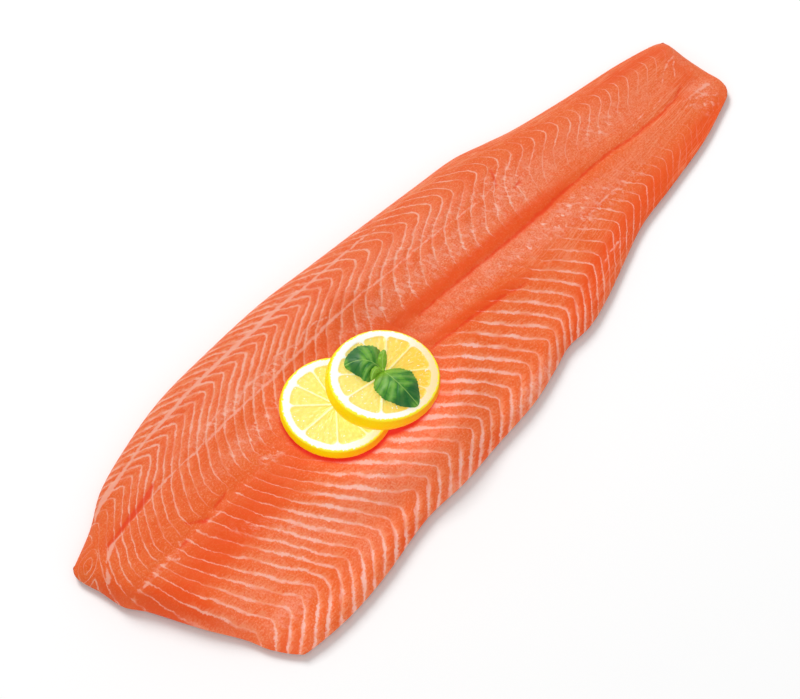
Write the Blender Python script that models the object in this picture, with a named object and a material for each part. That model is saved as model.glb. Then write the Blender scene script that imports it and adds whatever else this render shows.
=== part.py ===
"""A raw side of salmon lying skin down, with two lemon slices and a basil sprig on it.

Metres, +Z up. The origin is under the middle of the side. +X runs from the head end
to the tail, +Y to the thick back and -Y to the belly.
"""
import math

import bpy
import bmesh
import numpy as np
from mathutils.geometry import delaunay_2d_cdt

# The outline of the side, seen from above, each edge from the head to the tail
BACK_EDGE = [(-0.2400, 0.0450), (-0.2330, 0.0483), (-0.2150, 0.0565), (-0.1950, 0.0690),
             (-0.1650, 0.0782), (-0.1350, 0.0841), (-0.1000, 0.0857), (-0.0550, 0.0854),
             (-0.0150, 0.0814), (0.0250, 0.0773), (0.0650, 0.0730), (0.0920, 0.0698),
             (0.1130, 0.0633), (0.1330, 0.0571), (0.1700, 0.0492), (0.2050, 0.0429),
             (0.2280, 0.0372)]
BELLY_EDGE = [(-0.1848, -0.0768), (-0.1780, -0.0804), (-0.1500, -0.0826), (-0.1200, -0.0806),
              (-0.0800, -0.0742), (-0.0500, -0.0748), (-0.0200, -0.0726), (0.0120, -0.0706),
              (0.0360, -0.0654), (0.0520, -0.0612), (0.0700, -0.0615), (0.0900, -0.0569),
              (0.1160, -0.0479), (0.1400, -0.0401), (0.1700, -0.0359), (0.2050, -0.0303),
              (0.2280, -0.0237)]
TAIL_CUT = [(0.2400, 0.0312), (0.2402, 0.0150), (0.2418, 0.0010), (0.2440, -0.0110),
            (0.2402, -0.0190)]
HEAD_CUT = [(-0.2392, 0.0395), (-0.2356, 0.0260), (-0.2326, 0.0110), (-0.2245, -0.0020),
            (-0.2112, -0.0290), (-0.1993, -0.0500), (-0.1935, -0.0640)]
# The middle of that drawing, which becomes the origin
PAGE_CENTRE = (0.0020, 0.0015)

# Thickness: the thickest place along the side, and the share of it across the side,
# from the belly edge at 0 to the back edge at 1
THICKNESS = [(-0.2450, 0.0150), (-0.2100, 0.0195), (-0.1600, 0.0240), (-0.0900, 0.0262),
             (0.0000, 0.0265), (0.0600, 0.0240), (0.1200, 0.0190), (0.1800, 0.0150),
             (0.2450, 0.0118)]
ACROSS = [(0.00, 0.38), (0.10, 0.52), (0.22, 0.69), (0.34, 0.85), (0.46, 0.94), (0.58, 0.98),
          (0.70, 1.00), (0.80, 0.94), (0.90, 0.76), (1.00, 0.50)]
RIM_HEIGHT = 0.0040
HEAD_RIM_SHARE = 0.25
SIDE_ROUND = 0.0090
HEAD_SLOPE = 0.0200
FOOT_ROUND = 0.0030

# The fish's own lines along the side: where its flakes turn
UPPER_BAND = [(-0.2500, 0.0500), (-0.2000, 0.0620), (-0.1600, 0.0690), (-0.1200, 0.0720),
              (-0.0700, 0.0730), (-0.0100, 0.0700), (0.0500, 0.0650), (0.1000, 0.0570),
              (0.1500, 0.0440), (0.2500, 0.0310)]
UPPER_TIPS = [(-0.2500, 0.0450), (-0.2000, 0.0560), (-0.1600, 0.0600), (-0.1200, 0.0640),
              (-0.0700, 0.0638), (-0.0100, 0.0608), (0.0500, 0.0540), (0.1000, 0.0480),
              (0.1500, 0.0370), (0.2500, 0.0260)]
SIDE_LINE = [(-0.2500, 0.0370), (-0.2000, 0.0385), (-0.1500, 0.0415), (-0.1000, 0.0420),
             (0.0000, 0.0415), (0.0500, 0.0380), (0.1000, 0.0330), (0.1500, 0.0220),
             (0.2500, 0.0130)]
BONE_LINE = [(-0.2500, 0.0100), (-0.1800, 0.0100), (-0.1000, 0.0085), (0.0000, 0.0085),
             (0.0700, 0.0045), (0.1500, 0.0030), (0.2000, 0.0000), (0.2500, -0.0030)]
LOWER_TIPS = [(-0.2500, -0.0480), (-0.1900, -0.0540), (-0.1400, -0.0600), (-0.0700, -0.0605),
              (-0.0100, -0.0572), (0.0400, -0.0520), (0.0800, -0.0430), (0.1300, -0.0305),
              (0.1750, -0.0240), (0.2500, -0.0110)]

# How far a flake's seam runs towards the tail for each metre that it comes down
# the side, in each band between those lines, at the head, the middle and the tail
RUN_STATIONS = (-0.2300, -0.0500, 0.1500)
RUN_RIM = (1.60, 1.80, 1.80)
RUN_BAND = (1.40, 1.45, 1.40)
RUN_LOIN = (-1.33, -1.80, -1.40)
RUN_CENTRE = (-0.70, -0.75, -0.50)
RUN_BELLY = (0.78, 0.95, 0.90)
RUN_EDGE = (-0.77, -1.20, -1.33)
TIP_ROUND = (0.0020, 0.0022, 0.0060)
TURN_ROUND = 0.0060
UPRIGHT = 0.35

# Seam number and the place of its upper tip
SEAM_TIPS = [(-13, -0.2900), (0, -0.1870), (6, -0.1420), (11, -0.1010), (16, -0.0600),
             (21, -0.0180), (26, 0.0280), (31, 0.0720), (36, 0.1150), (60, 0.3000)]
FIRST_SEAM = -9
LAST_SEAM = 58
FLAKE_DEPTH = 0.0008
BONE_GROOVE = 0.0011
LINE_GROOVE = 0.0006
GROOVE_WIDTH = 0.0030
LINE_GROOVE_END = 0.1000
LINE_GROOVE_FADE = 0.0500

# Mesh of the side
RIM_STEP = 0.0060
RIM_INSETS = (0.0000, 0.0012, 0.0034)
CLEAR_OF_RIM = 0.0052
SEAM_DIVISIONS = (1, 1, 3, 1, 1, 5, 2)
SEAM_PASSES = 14
CURVE_DIVISIONS = 8
FOOT_TURN_SHARE = 0.3

# The lemon slices: the middle of the top face, half the long and short axes, the way the
# long axis points, and the tilt, which lowers the tail side
SLICE_THICK = 0.0110
SLICES = {
    "lemon_slice_lower": dict(centre=(-0.0746, 0.0013, 0.0363), long=0.0311, short=0.0282,
                              turn=-58.0, tilt=0.0, sag=0.0, first_cut=10.0),
    "lemon_slice_upper": dict(centre=(-0.0462, -0.0090, 0.0484), long=0.0322, short=0.0291,
                              turn=164.0, tilt=14.0, sag=1.4, first_cut=4.0),
}
SEGMENTS = 10
SLICE_AROUND = 6 * SEGMENTS
CORE_SHARE = 0.09
MIDDLE_SHARE = 0.45
PULP_EDGE_SHARE = 0.77
PULP_SHARE = 0.80
PITH_SHARE = 0.955
PULP_HOLLOW = 0.0004
RIND_BULGE = 0.0011
RIND_CHAMFER = 0.0014
BED_HEIGHT = 0.0250
BED_REACH = 0.0200
BED_MARGIN = 0.0040
GAP = 0.0003

# The basil sprig, in the upper slice's own plane: base, crest and tip of each leaf with
# their heights over the slice, then its half widths to the right and left of the rib
LEAVES = [
    dict(base=(-0.0003, 0.0020, 0.0016), crest=(-0.0050, 0.0114, 0.0062), rows=(12, 8),
         tip=(-0.0149, 0.0163, 0.0016), right=0.0126, left=0.0112, droop=0.0036),
    dict(base=(0.0000, 0.0014, 0.0016), crest=(-0.0017, -0.0120, 0.0058), rows=(12, 8),
         tip=(-0.0012, -0.0264, 0.0014), right=0.0118, left=0.0130, droop=0.0034),
    dict(base=(-0.0002, 0.0017, 0.0020), crest=(0.0036, 0.0064, 0.0068), rows=(5, 4),
         tip=(0.0076, 0.0086, 0.0072), right=0.0026, left=0.0026, droop=0.0010),
    dict(base=(-0.0004, 0.0015, 0.0020), crest=(-0.0050, 0.0036, 0.0066), rows=(5, 4),
         tip=(-0.0110, 0.0010, 0.0050), right=0.0020, left=0.0024, droop=0.0010),
]
LEAF_THICK = 0.0006
LEAF_WIDEST = 0.38
LEAF_FULLNESS = 0.65
LEAF_WAVE = 0.0005
LEAF_WAVES = 3.5
LEAF_END_WIDTH = 0.04
STEM_RADIUS = 0.0011
STEM_FOOT = 0.0006
STEM_TOP = 0.0030
STEM_SIDES = 10
STEM_END_SHARE = 0.55
STEM_END_ROUND = 0.0004


def clear_objects():
    """Start from an empty scene."""
    for thing in list(bpy.data.objects):
        bpy.data.objects.remove(thing, do_unlink=True)


def smooth(stations, x):
    """A smooth curve through the stations, read at x."""
    xs, ys = np.array(stations, dtype=float).T
    slopes = np.gradient(ys, xs)
    place = np.clip(np.searchsorted(xs, x) - 1, 0, len(xs) - 2)
    step = xs[place + 1] - xs[place]
    t = np.clip((x - xs[place]) / step, 0.0, 1.0)
    rise = ys[place + 1] - ys[place]
    bend = (slopes[place] * step - rise) * (1 - t) - (slopes[place + 1] * step - rise) * t
    return ys[place] + t * rise + t * (1 - t) * bend


def closed_curve(points, per_span):
    """A closed Catmull-Rom curve through the points."""
    knots = np.array(points)
    before = np.roll(knots, 1, axis=0)
    after = np.roll(knots, -1, axis=0)
    beyond = np.roll(knots, -2, axis=0)
    rows = []
    for t in np.arange(per_span) / per_span:
        rows.append(0.5 * (2 * knots + (after - before) * t
                           + (2 * before - 5 * knots + 4 * after - beyond) * t ** 2
                           + (3 * knots - before - 3 * after + beyond) * t ** 3))
    return np.stack(rows, axis=1).reshape(-1, 2)


def even_steps(curve, step):
    """The closed curve's points again, at even steps."""
    ring = np.vstack([curve, curve[:1]])
    length = np.concatenate([[0.0], np.cumsum(np.hypot(*np.diff(ring, axis=0).T))])
    count = int(round(length[-1] / step))
    at = np.arange(count) * length[-1] / count
    return np.stack([np.interp(at, length, ring[:, 0]), np.interp(at, length, ring[:, 1])], axis=1)


def inset_ring(ring, inset):
    """The ring moved inwards; it runs clockwise seen from above."""
    along = np.roll(ring, -1, axis=0) - np.roll(ring, 1, axis=0)
    along /= np.linalg.norm(along, axis=1)[:, None]
    inward = np.stack([along[:, 1], -along[:, 0]], axis=1)
    return ring + inward * inset


def distance_to(line, x, y, closed=True):
    """The distance from each point to a line of straight pieces."""
    starts = line if closed else line[:-1]
    ends = np.roll(line, -1, axis=0) if closed else line[1:]
    best = np.full(np.shape(x), 1.0)
    for start, end in zip(starts, ends):
        run = end - start
        t = np.clip(((x - start[0]) * run[0] + (y - start[1]) * run[1]) / (run @ run), 0, 1)
        best = np.minimum(best, np.hypot(x - start[0] - t * run[0], y - start[1] - t * run[1]))
    return best


OUTLINE = even_steps(closed_curve(BACK_EDGE + TAIL_CUT + BELLY_EDGE[::-1] + HEAD_CUT[::-1],
                                  CURVE_DIVISIONS), RIM_STEP)
HEAD_LINE = np.array(HEAD_CUT + BELLY_EDGE[:1])


def soft_ramp(t, width):
    """0 for negative t and t for positive t, with a rounded turn."""
    return 0.5 * (t + np.sqrt(t * t + width * width))


def seam_run(x, y):
    """How far towards the tail a seam has run at y, from anywhere above the side."""
    rim, band, loin, centre, belly, edge, tip = (
        np.interp(x, RUN_STATIONS, run)
        for run in (RUN_RIM, RUN_BAND, RUN_LOIN, RUN_CENTRE, RUN_BELLY, RUN_EDGE, TIP_ROUND))
    side_line = smooth(SIDE_LINE, x)
    bone_line = smooth(BONE_LINE, x)
    upright = bone_line + UPRIGHT * (side_line - bone_line)
    total = -rim * y
    turns = ((smooth(UPPER_BAND, x), band - rim, TURN_ROUND),
             (smooth(UPPER_TIPS, x), loin - band, tip),
             (side_line, centre - loin, TURN_ROUND),
             (upright, -centre, TURN_ROUND),
             (bone_line, belly, TURN_ROUND),
             (smooth(LOWER_TIPS, x), edge - belly, tip))
    for line, change, width in turns:
        total = total + change * soft_ramp(line - y, width)
    return total


def seam_shift(x, y):
    """How far a seam at this place lies towards the tail from its own upper tip."""
    return seam_run(x, y) - seam_run(x, smooth(UPPER_TIPS, x))


TIP_NUMBERS = np.linspace(SEAM_TIPS[0][0], SEAM_TIPS[-1][0], 600)
TIP_PLACES = smooth(SEAM_TIPS, TIP_NUMBERS)


def seam_number(x, y):
    """A whole number on each seam, a half in the middle of each flake."""
    return np.interp(x - seam_shift(x, y), TIP_PLACES, TIP_NUMBERS)


def share_across(x, y):
    """0 at the belly edge and 1 at the back edge."""
    low = smooth(BELLY_EDGE, x)
    high = smooth(BACK_EDGE, x)
    return np.clip((y - low) / (high - low), 0.0, 1.0)


def rounding(distance, reach):
    """A quarter circle's rise, from 0 at the rim to 1."""
    left = 1.0 - np.clip(distance / reach, 0.0, 1.0)
    return np.sqrt(1.0 - left * left)


def bed_share(x, y):
    """1 under the lemon slices, fading to 0 around them."""
    share = np.zeros(np.shape(x))
    for shape in SLICES.values():
        away = np.hypot(x - shape["centre"][0], y - shape["centre"][1])
        inner = shape["long"] + BED_MARGIN
        t = np.clip((inner + BED_REACH - away) / BED_REACH, 0.0, 1.0)
        share = np.maximum(share, t * t * (3 - 2 * t))
    return share


def side_height(x, y):
    """The height of the side's upper surface."""
    thick = smooth(THICKNESS, x) * smooth(ACROSS, share_across(x, y))
    seam = np.abs(np.sin(math.pi * seam_number(x, y)))
    relief = FLAKE_DEPTH * (seam - 1.0)
    off_bone = (y - smooth(BONE_LINE, x)) / GROOVE_WIDTH
    off_line = (y - smooth(SIDE_LINE, x)) / GROOVE_WIDTH
    fade = np.clip((LINE_GROOVE_END - x) / LINE_GROOVE_FADE, 0.0, 1.0)
    relief = relief - BONE_GROOVE * np.exp(-off_bone ** 2)
    relief = relief - LINE_GROOVE * fade * np.exp(-off_line ** 2)
    bed = bed_share(x, y)
    thick = (thick + relief) * (1 - bed) + (BED_HEIGHT - GAP) * bed
    rise = rounding(distance_to(OUTLINE, x, y), SIDE_ROUND)
    slope = rounding(distance_to(HEAD_LINE, x, y, False), HEAD_SLOPE)
    rise = rise * (HEAD_RIM_SHARE + (1 - HEAD_RIM_SHARE) * slope)
    return RIM_HEIGHT + (thick - RIM_HEIGHT) * rise


def seam_points():
    """The points of every seam and of every flake's crest, from the back to the belly."""
    numbers = np.arange(2 * FIRST_SEAM, 2 * LAST_SEAM + 1) / 2
    tips = smooth(SEAM_TIPS, numbers)[:, None]
    spans = [(band, k / divisions) for band, divisions in enumerate(SEAM_DIVISIONS)
             for k in range(divisions)]
    band, share = np.array(spans).T
    band = band.astype(int)
    places = np.arange(len(spans))
    x = tips + np.zeros(len(spans))
    for _ in range(SEAM_PASSES):
        lines = np.stack([smooth(BACK_EDGE, x), smooth(UPPER_BAND, x), smooth(UPPER_TIPS, x),
                          smooth(SIDE_LINE, x),
                          UPRIGHT * smooth(SIDE_LINE, x) + (1 - UPRIGHT) * smooth(BONE_LINE, x),
                          smooth(BONE_LINE, x), smooth(LOWER_TIPS, x), smooth(BELLY_EDGE, x)])
        upper = lines[band, :, places].T
        lower = lines[band + 1, :, places].T
        y = upper + (lower - upper) * share
        x = 0.5 * x + 0.5 * (tips + seam_shift(x, y))
    return np.stack([x, y], axis=2)


def inside(ring, x, y):
    """Whether each point is inside the ring."""
    crossings = np.zeros(np.shape(x), dtype=int)
    for start, end in zip(ring, np.roll(ring, -1, axis=0)):
        if start[1] == end[1]:
            continue
        at = start[0] + (y - start[1]) / (end[1] - start[1]) * (end[0] - start[0])
        crossings += ((start[1] > y) != (end[1] > y)) & (x < at)
    return crossings % 2 == 1


def top_plan(inner_ring):
    """Triangles over the side whose edges follow the seams and crests, seen from above."""
    points = [tuple(point) for point in inner_ring]
    edges = []
    seams = seam_points()
    kept = inside(OUTLINE, seams[..., 0], seams[..., 1])
    kept &= distance_to(OUTLINE, seams[..., 0], seams[..., 1]) > CLEAR_OF_RIM
    for seam, stays in zip(seams, kept):
        last = None
        for point, stay in zip(seam, stays):
            if not stay:
                last = None
                continue
            points.append(tuple(point))
            if last is not None:
                edges.append((last, len(points) - 1))
            last = len(points) - 1
    loop = list(range(len(inner_ring)))
    inner = [loop[::-1]]
    places, _, faces, sources, _, owners = delaunay_2d_cdt(points, edges, inner, 0, 1e-6, True)
    faces = [tuple(face) for face, owner in zip(faces, owners) if owner]
    at = {source: index for index, group in enumerate(sources) for source in group}
    return np.array(places), faces, [at[index] for index in loop]


def make_material(name, colour, roughness):
    """A Principled material."""
    material = bpy.data.materials.new(name)
    material.use_nodes = True
    shader = material.node_tree.nodes["Principled BSDF"]
    shader.inputs["Base Color"].default_value = (*colour, 1.0)
    shader.inputs["Roughness"].default_value = roughness
    return material


def add_object(name, verts, faces, material):
    """An object from points and faces, with its faces pointing out."""
    mesh = bpy.data.meshes.new(name)
    points = np.array(verts, dtype=float) - (*PAGE_CENTRE, 0.0)
    mesh.from_pydata(points.tolist(), [], faces)
    shape = bmesh.new()
    shape.from_mesh(mesh)
    bmesh.ops.recalc_face_normals(shape, faces=shape.faces)
    shape.to_mesh(mesh)
    shape.free()
    mesh.shade_smooth()
    mesh.set_sharp_from_angle(angle=math.radians(50))
    mesh.materials.append(material)
    thing = bpy.data.objects.new(name, mesh)
    bpy.context.scene.collection.objects.link(thing)
    return thing


def build_side():
    """The side: a top that follows the flakes, a rounded rim and a flat skin below."""
    rings = [inset_ring(OUTLINE, inset) for inset in RIM_INSETS]
    places, faces, loop = top_plan(rings[2])
    heights = side_height(places[:, 0], places[:, 1])
    verts = [(x, y, z) for (x, y), z in zip(places, heights)]
    foot = [(inset_ring(OUTLINE, FOOT_ROUND * FOOT_TURN_SHARE), RIM_HEIGHT * FOOT_TURN_SHARE),
            (inset_ring(OUTLINE, FOOT_ROUND), 0.0)]
    rows = [(rings[1], side_height(*rings[1].T)), (rings[0], side_height(*rings[0].T))] + foot
    upper = loop
    for ring, height in rows:
        lower = list(range(len(verts), len(verts) + len(ring)))
        verts += [(x, y, z) for (x, y), z in zip(ring, np.broadcast_to(height, len(ring)))]
        for k in range(len(ring)):
            k2 = (k + 1) % len(ring)
            faces.append((upper[k], upper[k2], lower[k2]))
            faces.append((upper[k], lower[k2], lower[k]))
        upper = lower
    faces.append(tuple(upper))
    flesh = make_material("salmon_flesh", (0.82, 0.16, 0.045), 0.35)
    return add_object("salmon_side", verts, faces, flesh)


def slice_point(shape, a, b, c):
    """A point of a slice: a across the tilt, b along it, c up from the top face."""
    tilt = math.radians(shape["tilt"])
    level = c - shape["sag"] * a * a
    x, y, z = shape["centre"]
    return (x + a * math.cos(tilt) + level * math.sin(tilt),
            y + b,
            z - a * math.sin(tilt) + level * math.cos(tilt))


def slice_rows():
    """Share of the radius, extra radius, height and pulp hollow of each ring of a slice."""
    chamfer = RIND_CHAMFER
    return [(CORE_SHARE, 0.0, 0.0, 0.5), (MIDDLE_SHARE, 0.0, 0.0, 1.0),
            (PULP_EDGE_SHARE, 0.0, 0.0, 0.8), (PULP_SHARE, 0.0, 0.0, 0.0),
            (PITH_SHARE, 0.0, 0.0, 0.0),
            (1.0, 0.0, -chamfer, 0.0), (1.0, RIND_BULGE, -SLICE_THICK / 2, 0.0),
            (1.0, 0.0, chamfer - SLICE_THICK, 0.0), (PITH_SHARE, 0.0, -SLICE_THICK, 0.0)]


def build_slice(name, shape, rind):
    """A lemon slice: sunken pulp in ten segments, flat pith and a bulging rind."""
    turn = math.radians(shape["turn"])
    first = math.radians(shape["first_cut"])
    verts = [slice_point(shape, 0.0, 0.0, 0.0)]
    for share, extra, height, hollow in slice_rows():
        for k in range(SLICE_AROUND):
            angle = 2 * math.pi * k / SLICE_AROUND + first
            along = (shape["long"] * share + extra) * math.cos(angle)
            across = (shape["short"] * share + extra) * math.sin(angle)
            dip = abs(math.sin(math.pi * k * SEGMENTS / SLICE_AROUND)) ** 0.5
            verts.append(slice_point(shape,
                                     along * math.cos(turn) - across * math.sin(turn),
                                     along * math.sin(turn) + across * math.cos(turn),
                                     height - PULP_HOLLOW * hollow * dip))
    faces = [(0, 1 + k, 1 + (k + 1) % SLICE_AROUND) for k in range(SLICE_AROUND)]
    rows = len(slice_rows())
    for row in range(rows - 1):
        for k in range(SLICE_AROUND):
            k2 = (k + 1) % SLICE_AROUND
            upper = 1 + row * SLICE_AROUND
            lower = upper + SLICE_AROUND
            faces.append((upper + k, lower + k, lower + k2))
            faces.append((upper + k, lower + k2, upper + k2))
    last = 1 + (rows - 1) * SLICE_AROUND
    verts.append(slice_point(shape, 0.0, 0.0, -SLICE_THICK))
    for k in range(SLICE_AROUND):
        faces.append((last + (k + 1) % SLICE_AROUND, last + k, len(verts) - 1))
    return add_object(name, verts, faces, rind)


def leaf_width(t):
    """The leaf's width along its rib, as a share of its widest."""
    power = math.log(0.5) / math.log(LEAF_WIDEST)
    swell = max(math.sin(math.pi * t ** power), 0.0) ** LEAF_FULLNESS
    return LEAF_END_WIDTH + (1 - LEAF_END_WIDTH) * swell


def leaf_point(leaf, t, u, down):
    """A point of a leaf in the slice's plane: t along the rib, u across, down below its face."""
    base, crest, tip = (np.array(leaf[key]) for key in ("base", "crest", "tip"))
    pull = 2 * crest - 0.5 * (base + tip)
    rib = base * (1 - t) ** 2 + pull * 2 * t * (1 - t) + tip * t * t
    along = (pull - base) * (1 - t) + (tip - pull) * t
    right = np.array([along[1], -along[0]]) / math.hypot(along[0], along[1])
    reach = leaf["right"] if u > 0 else leaf["left"]
    width = leaf_width(t)
    a, b = rib[:2] + right * u * reach * width
    wave = LEAF_WAVE * math.sin(2 * math.pi * LEAF_WAVES * t) * abs(u) * width
    height = rib[2] - leaf["droop"] * u * u * width + wave
    return a, b, max(height, GAP + LEAF_THICK) - down


def build_leaf(name, leaf, shape, material):
    """A thin wavy leaf, both faces split into triangles alike."""
    along, across = leaf["rows"]
    row = across + 1
    count = (along + 1) * row
    verts = []
    for down in (0.0, LEAF_THICK):
        for i in range(along + 1):
            for j in range(row):
                point = leaf_point(leaf, i / along, 2 * j / across - 1, down)
                verts.append(slice_point(shape, *point))
    faces = []
    for i in range(along):
        for j in range(across):
            corner = i * row + j
            for one in ((corner, corner + 1, corner + row + 1),
                        (corner, corner + row + 1, corner + row)):
                faces.append(one)
                faces.append(tuple(count + v for v in reversed(one)))
    rim = list(range(row))
    rim += [i * row + across for i in range(1, along + 1)]
    rim += [along * row + j for j in range(across - 1, -1, -1)]
    rim += [i * row for i in range(along - 1, 0, -1)]
    for one, two in zip(rim, rim[1:] + rim[:1]):
        faces.append((one, count + one, count + two))
        faces.append((one, count + two, two))
    return add_object(name, verts, faces, material)


def build_stem(name, shape, material):
    """The short stem that the four leaves grow from."""
    sides = STEM_SIDES
    a0, b0 = LEAVES[2]["base"][:2]
    rows = [(STEM_END_SHARE, STEM_FOOT), (1.0, STEM_FOOT + STEM_END_ROUND),
            (1.0, STEM_TOP - STEM_END_ROUND), (STEM_END_SHARE, STEM_TOP)]
    verts = []
    for share, height in rows:
        for k in range(sides):
            angle = 2 * math.pi * k / sides
            verts.append(slice_point(shape, a0 + STEM_RADIUS * share * math.cos(angle),
                                     b0 + STEM_RADIUS * share * math.sin(angle), height))
    faces = [tuple(range(sides)), tuple(range(3 * sides, 4 * sides))]
    for row in range(len(rows) - 1):
        for k in range(sides):
            corner = row * sides + k
            beside = row * sides + (k + 1) % sides
            faces.append((corner, beside, beside + sides, corner + sides))
    return add_object(name, verts, faces, material)


def build_sprig():
    """The basil sprig: four leaves joined to one stem, in one solid."""
    shape = SLICES["lemon_slice_upper"]
    green = make_material("basil_leaf", (0.10, 0.33, 0.05), 0.45)
    sprig = build_stem("basil_sprig", shape, green)
    group = bpy.data.collections.new("leaf_parts")
    bpy.context.scene.collection.children.link(group)
    for number, leaf in enumerate(LEAVES):
        piece = build_leaf(f"leaf_part_{number}", leaf, shape, green)
        bpy.context.scene.collection.objects.unlink(piece)
        group.objects.link(piece)
    union = sprig.modifiers.new("join_leaves", "BOOLEAN")
    union.operation = "UNION"
    union.solver = "EXACT"
    union.operand_type = "COLLECTION"
    union.collection = group
    bpy.context.view_layer.update()
    joined = bpy.data.meshes.new_from_object(
        sprig.evaluated_get(bpy.context.evaluated_depsgraph_get()))
    sprig.modifiers.clear()
    sprig.data = joined
    for piece in list(group.objects):
        bpy.data.objects.remove(piece, do_unlink=True)
    bpy.data.collections.remove(group)
    return sprig


def main():
    clear_objects()
    build_side()
    rind = make_material("lemon", (0.95, 0.80, 0.12), 0.45)
    for name, shape in SLICES.items():
        build_slice(name, shape, rind)
    build_sprig()


main()
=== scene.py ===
"""The looks of a raw side of salmon with two lemon slices and a basil sprig on it.

Metres, +Z up, in the part's own frame. The drawing's places are on a page whose middle
is PAGE_CENTRE; lists that say so are in millimetres on that page.
"""
import math

import bmesh
import bpy
import numpy as np
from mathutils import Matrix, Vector
from mathutils.geometry import delaunay_2d_cdt

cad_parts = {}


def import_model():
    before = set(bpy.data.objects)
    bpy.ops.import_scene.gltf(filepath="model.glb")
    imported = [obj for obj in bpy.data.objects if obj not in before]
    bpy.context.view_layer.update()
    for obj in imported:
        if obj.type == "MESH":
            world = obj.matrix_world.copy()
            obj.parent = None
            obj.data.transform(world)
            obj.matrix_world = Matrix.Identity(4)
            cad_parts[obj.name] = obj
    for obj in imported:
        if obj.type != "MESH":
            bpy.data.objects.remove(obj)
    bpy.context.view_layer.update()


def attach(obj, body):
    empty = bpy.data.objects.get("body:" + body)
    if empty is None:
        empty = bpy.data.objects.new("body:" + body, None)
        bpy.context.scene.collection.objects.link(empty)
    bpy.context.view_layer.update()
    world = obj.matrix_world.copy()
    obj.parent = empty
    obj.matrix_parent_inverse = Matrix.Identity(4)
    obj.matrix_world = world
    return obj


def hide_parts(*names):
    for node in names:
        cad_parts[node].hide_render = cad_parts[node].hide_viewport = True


MM = 0.001

# The outline of the side, seen from above, each edge from the head to the tail
BACK_EDGE = [
    (-0.2376, 0.046), (-0.233, 0.0483), (-0.215, 0.0565), (-0.195, 0.069), (-0.165, 0.0782),
    (-0.135, 0.0841), (-0.1, 0.0857), (-0.055, 0.0854), (-0.015, 0.0814), (0.025, 0.0773),
    (0.065, 0.073), (0.092, 0.0698), (0.113, 0.0633), (0.133, 0.0571), (0.17, 0.0492),
    (0.205, 0.0429), (0.228, 0.0372),
]
BELLY_EDGE = [
    (-0.1848, -0.0768), (-0.178, -0.0804), (-0.15, -0.0826), (-0.12, -0.0806), (-0.08, -0.0742),
    (-0.05, -0.0748), (-0.02, -0.0726), (0.012, -0.0706), (0.036, -0.0654), (0.052, -0.0612),
    (0.07, -0.0615), (0.09, -0.0569), (0.116, -0.0479), (0.14, -0.0401), (0.17, -0.0359),
    (0.205, -0.0303), (0.228, -0.0237),
]
TAIL_CUT = [
    (0.2372, 0.0335), (0.24, 0.029), (0.2402, 0.015), (0.2418, 0.001), (0.244, -0.011),
    (0.2402, -0.019),
]
HEAD_CUT = [
    (-0.2392, 0.0395), (-0.2356, 0.026), (-0.2326, 0.011), (-0.2245, -0.002), (-0.2112, -0.029),
    (-0.1993, -0.05), (-0.1935, -0.064),
]
PAGE_CENTRE = (0.002, 0.0015)

# Thickness: the thickest place along the side, and the share of it across the side
THICKNESS = [
    (-0.245, 0.015), (-0.21, 0.0195), (-0.16, 0.024), (-0.09, 0.0262), (0.0, 0.0265),
    (0.06, 0.024), (0.12, 0.019), (0.18, 0.015), (0.245, 0.0118),
]
ACROSS = [
    (0.0, 0.38), (0.1, 0.52), (0.22, 0.69), (0.34, 0.85), (0.46, 0.94), (0.58, 0.98), (0.7, 1.0),
    (0.8, 0.94), (0.9, 0.76), (1.0, 0.5),
]
RIM_HEIGHT = 0.004
HEAD_RIM_SHARE = 0.25
SIDE_ROUND = 0.009
HEAD_SLOPE = 0.02
FOOT_ROUND = 0.003

# The fish's own lines along the side: where its flakes turn
UPPER_BAND = [
    (-0.25, 0.05), (-0.2, 0.062), (-0.16, 0.069), (-0.12, 0.072), (-0.07, 0.073), (-0.01, 0.07),
    (0.05, 0.065), (0.1, 0.057), (0.15, 0.044), (0.25, 0.031),
]
UPPER_TIPS = [
    (-0.25, 0.045), (-0.2, 0.056), (-0.16, 0.06), (-0.12, 0.064), (-0.07, 0.0638),
    (-0.01, 0.0608), (0.05, 0.054), (0.1, 0.048), (0.15, 0.037), (0.25, 0.026),
]
SIDE_LINE = [
    (-0.25, 0.037), (-0.2, 0.0385), (-0.15, 0.0415), (-0.1, 0.042), (0.0, 0.0415), (0.05, 0.038),
    (0.1, 0.033), (0.15, 0.022), (0.25, 0.013),
]
BONE_LINE = [
    (-0.25, 0.01), (-0.18, 0.01), (-0.1, 0.0085), (0.0, 0.0085), (0.07, 0.0045), (0.15, 0.003),
    (0.2, 0.0), (0.25, -0.003),
]
LOWER_TIPS = [
    (-0.25, -0.048), (-0.19, -0.054), (-0.14, -0.06), (-0.07, -0.0605), (-0.01, -0.0572),
    (0.04, -0.052), (0.08, -0.043), (0.13, -0.0305), (0.175, -0.024), (0.25, -0.011),
]

# How far a flake's seam runs towards the tail for each metre that it comes down the side,
# in each band between those lines, at each of the stations from the head to the tail.
# At the belly edge it starts with one slope and turns to another EDGE_TURN further down.
# The ROUND values are how widely a seam turns: at the tips, at the bone line, and
# TURN_ROUND at the other lines
RUN_STATIONS = (-0.23, -0.15, -0.05, 0.15)
RUN_RIM = (1.6, 1.69, 1.8, 1.8)
RUN_BAND = (1.4, 1.42, 1.45, 1.4)
RUN_LOIN = (-1.33, -1.54, -1.8, -1.75)
RUN_CENTRE = (-0.7, -0.72, -0.75, -0.5)
RUN_BELLY = (0.34, 0.71, 0.95, 0.9)
RUN_EDGE_START = (-0.1, -0.15, -0.6, -1.25)
RUN_EDGE = (-0.9, -0.95, -1.25, -1.8)
TIP_ROUND = (0.0015, 0.0015, 0.0015, 0.007)
LOWER_TIP_ROUND = (0.0009, 0.0008, 0.0007, 0.002)
BONE_ROUND = (0.014, 0.014, 0.009, 0.006)
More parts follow.
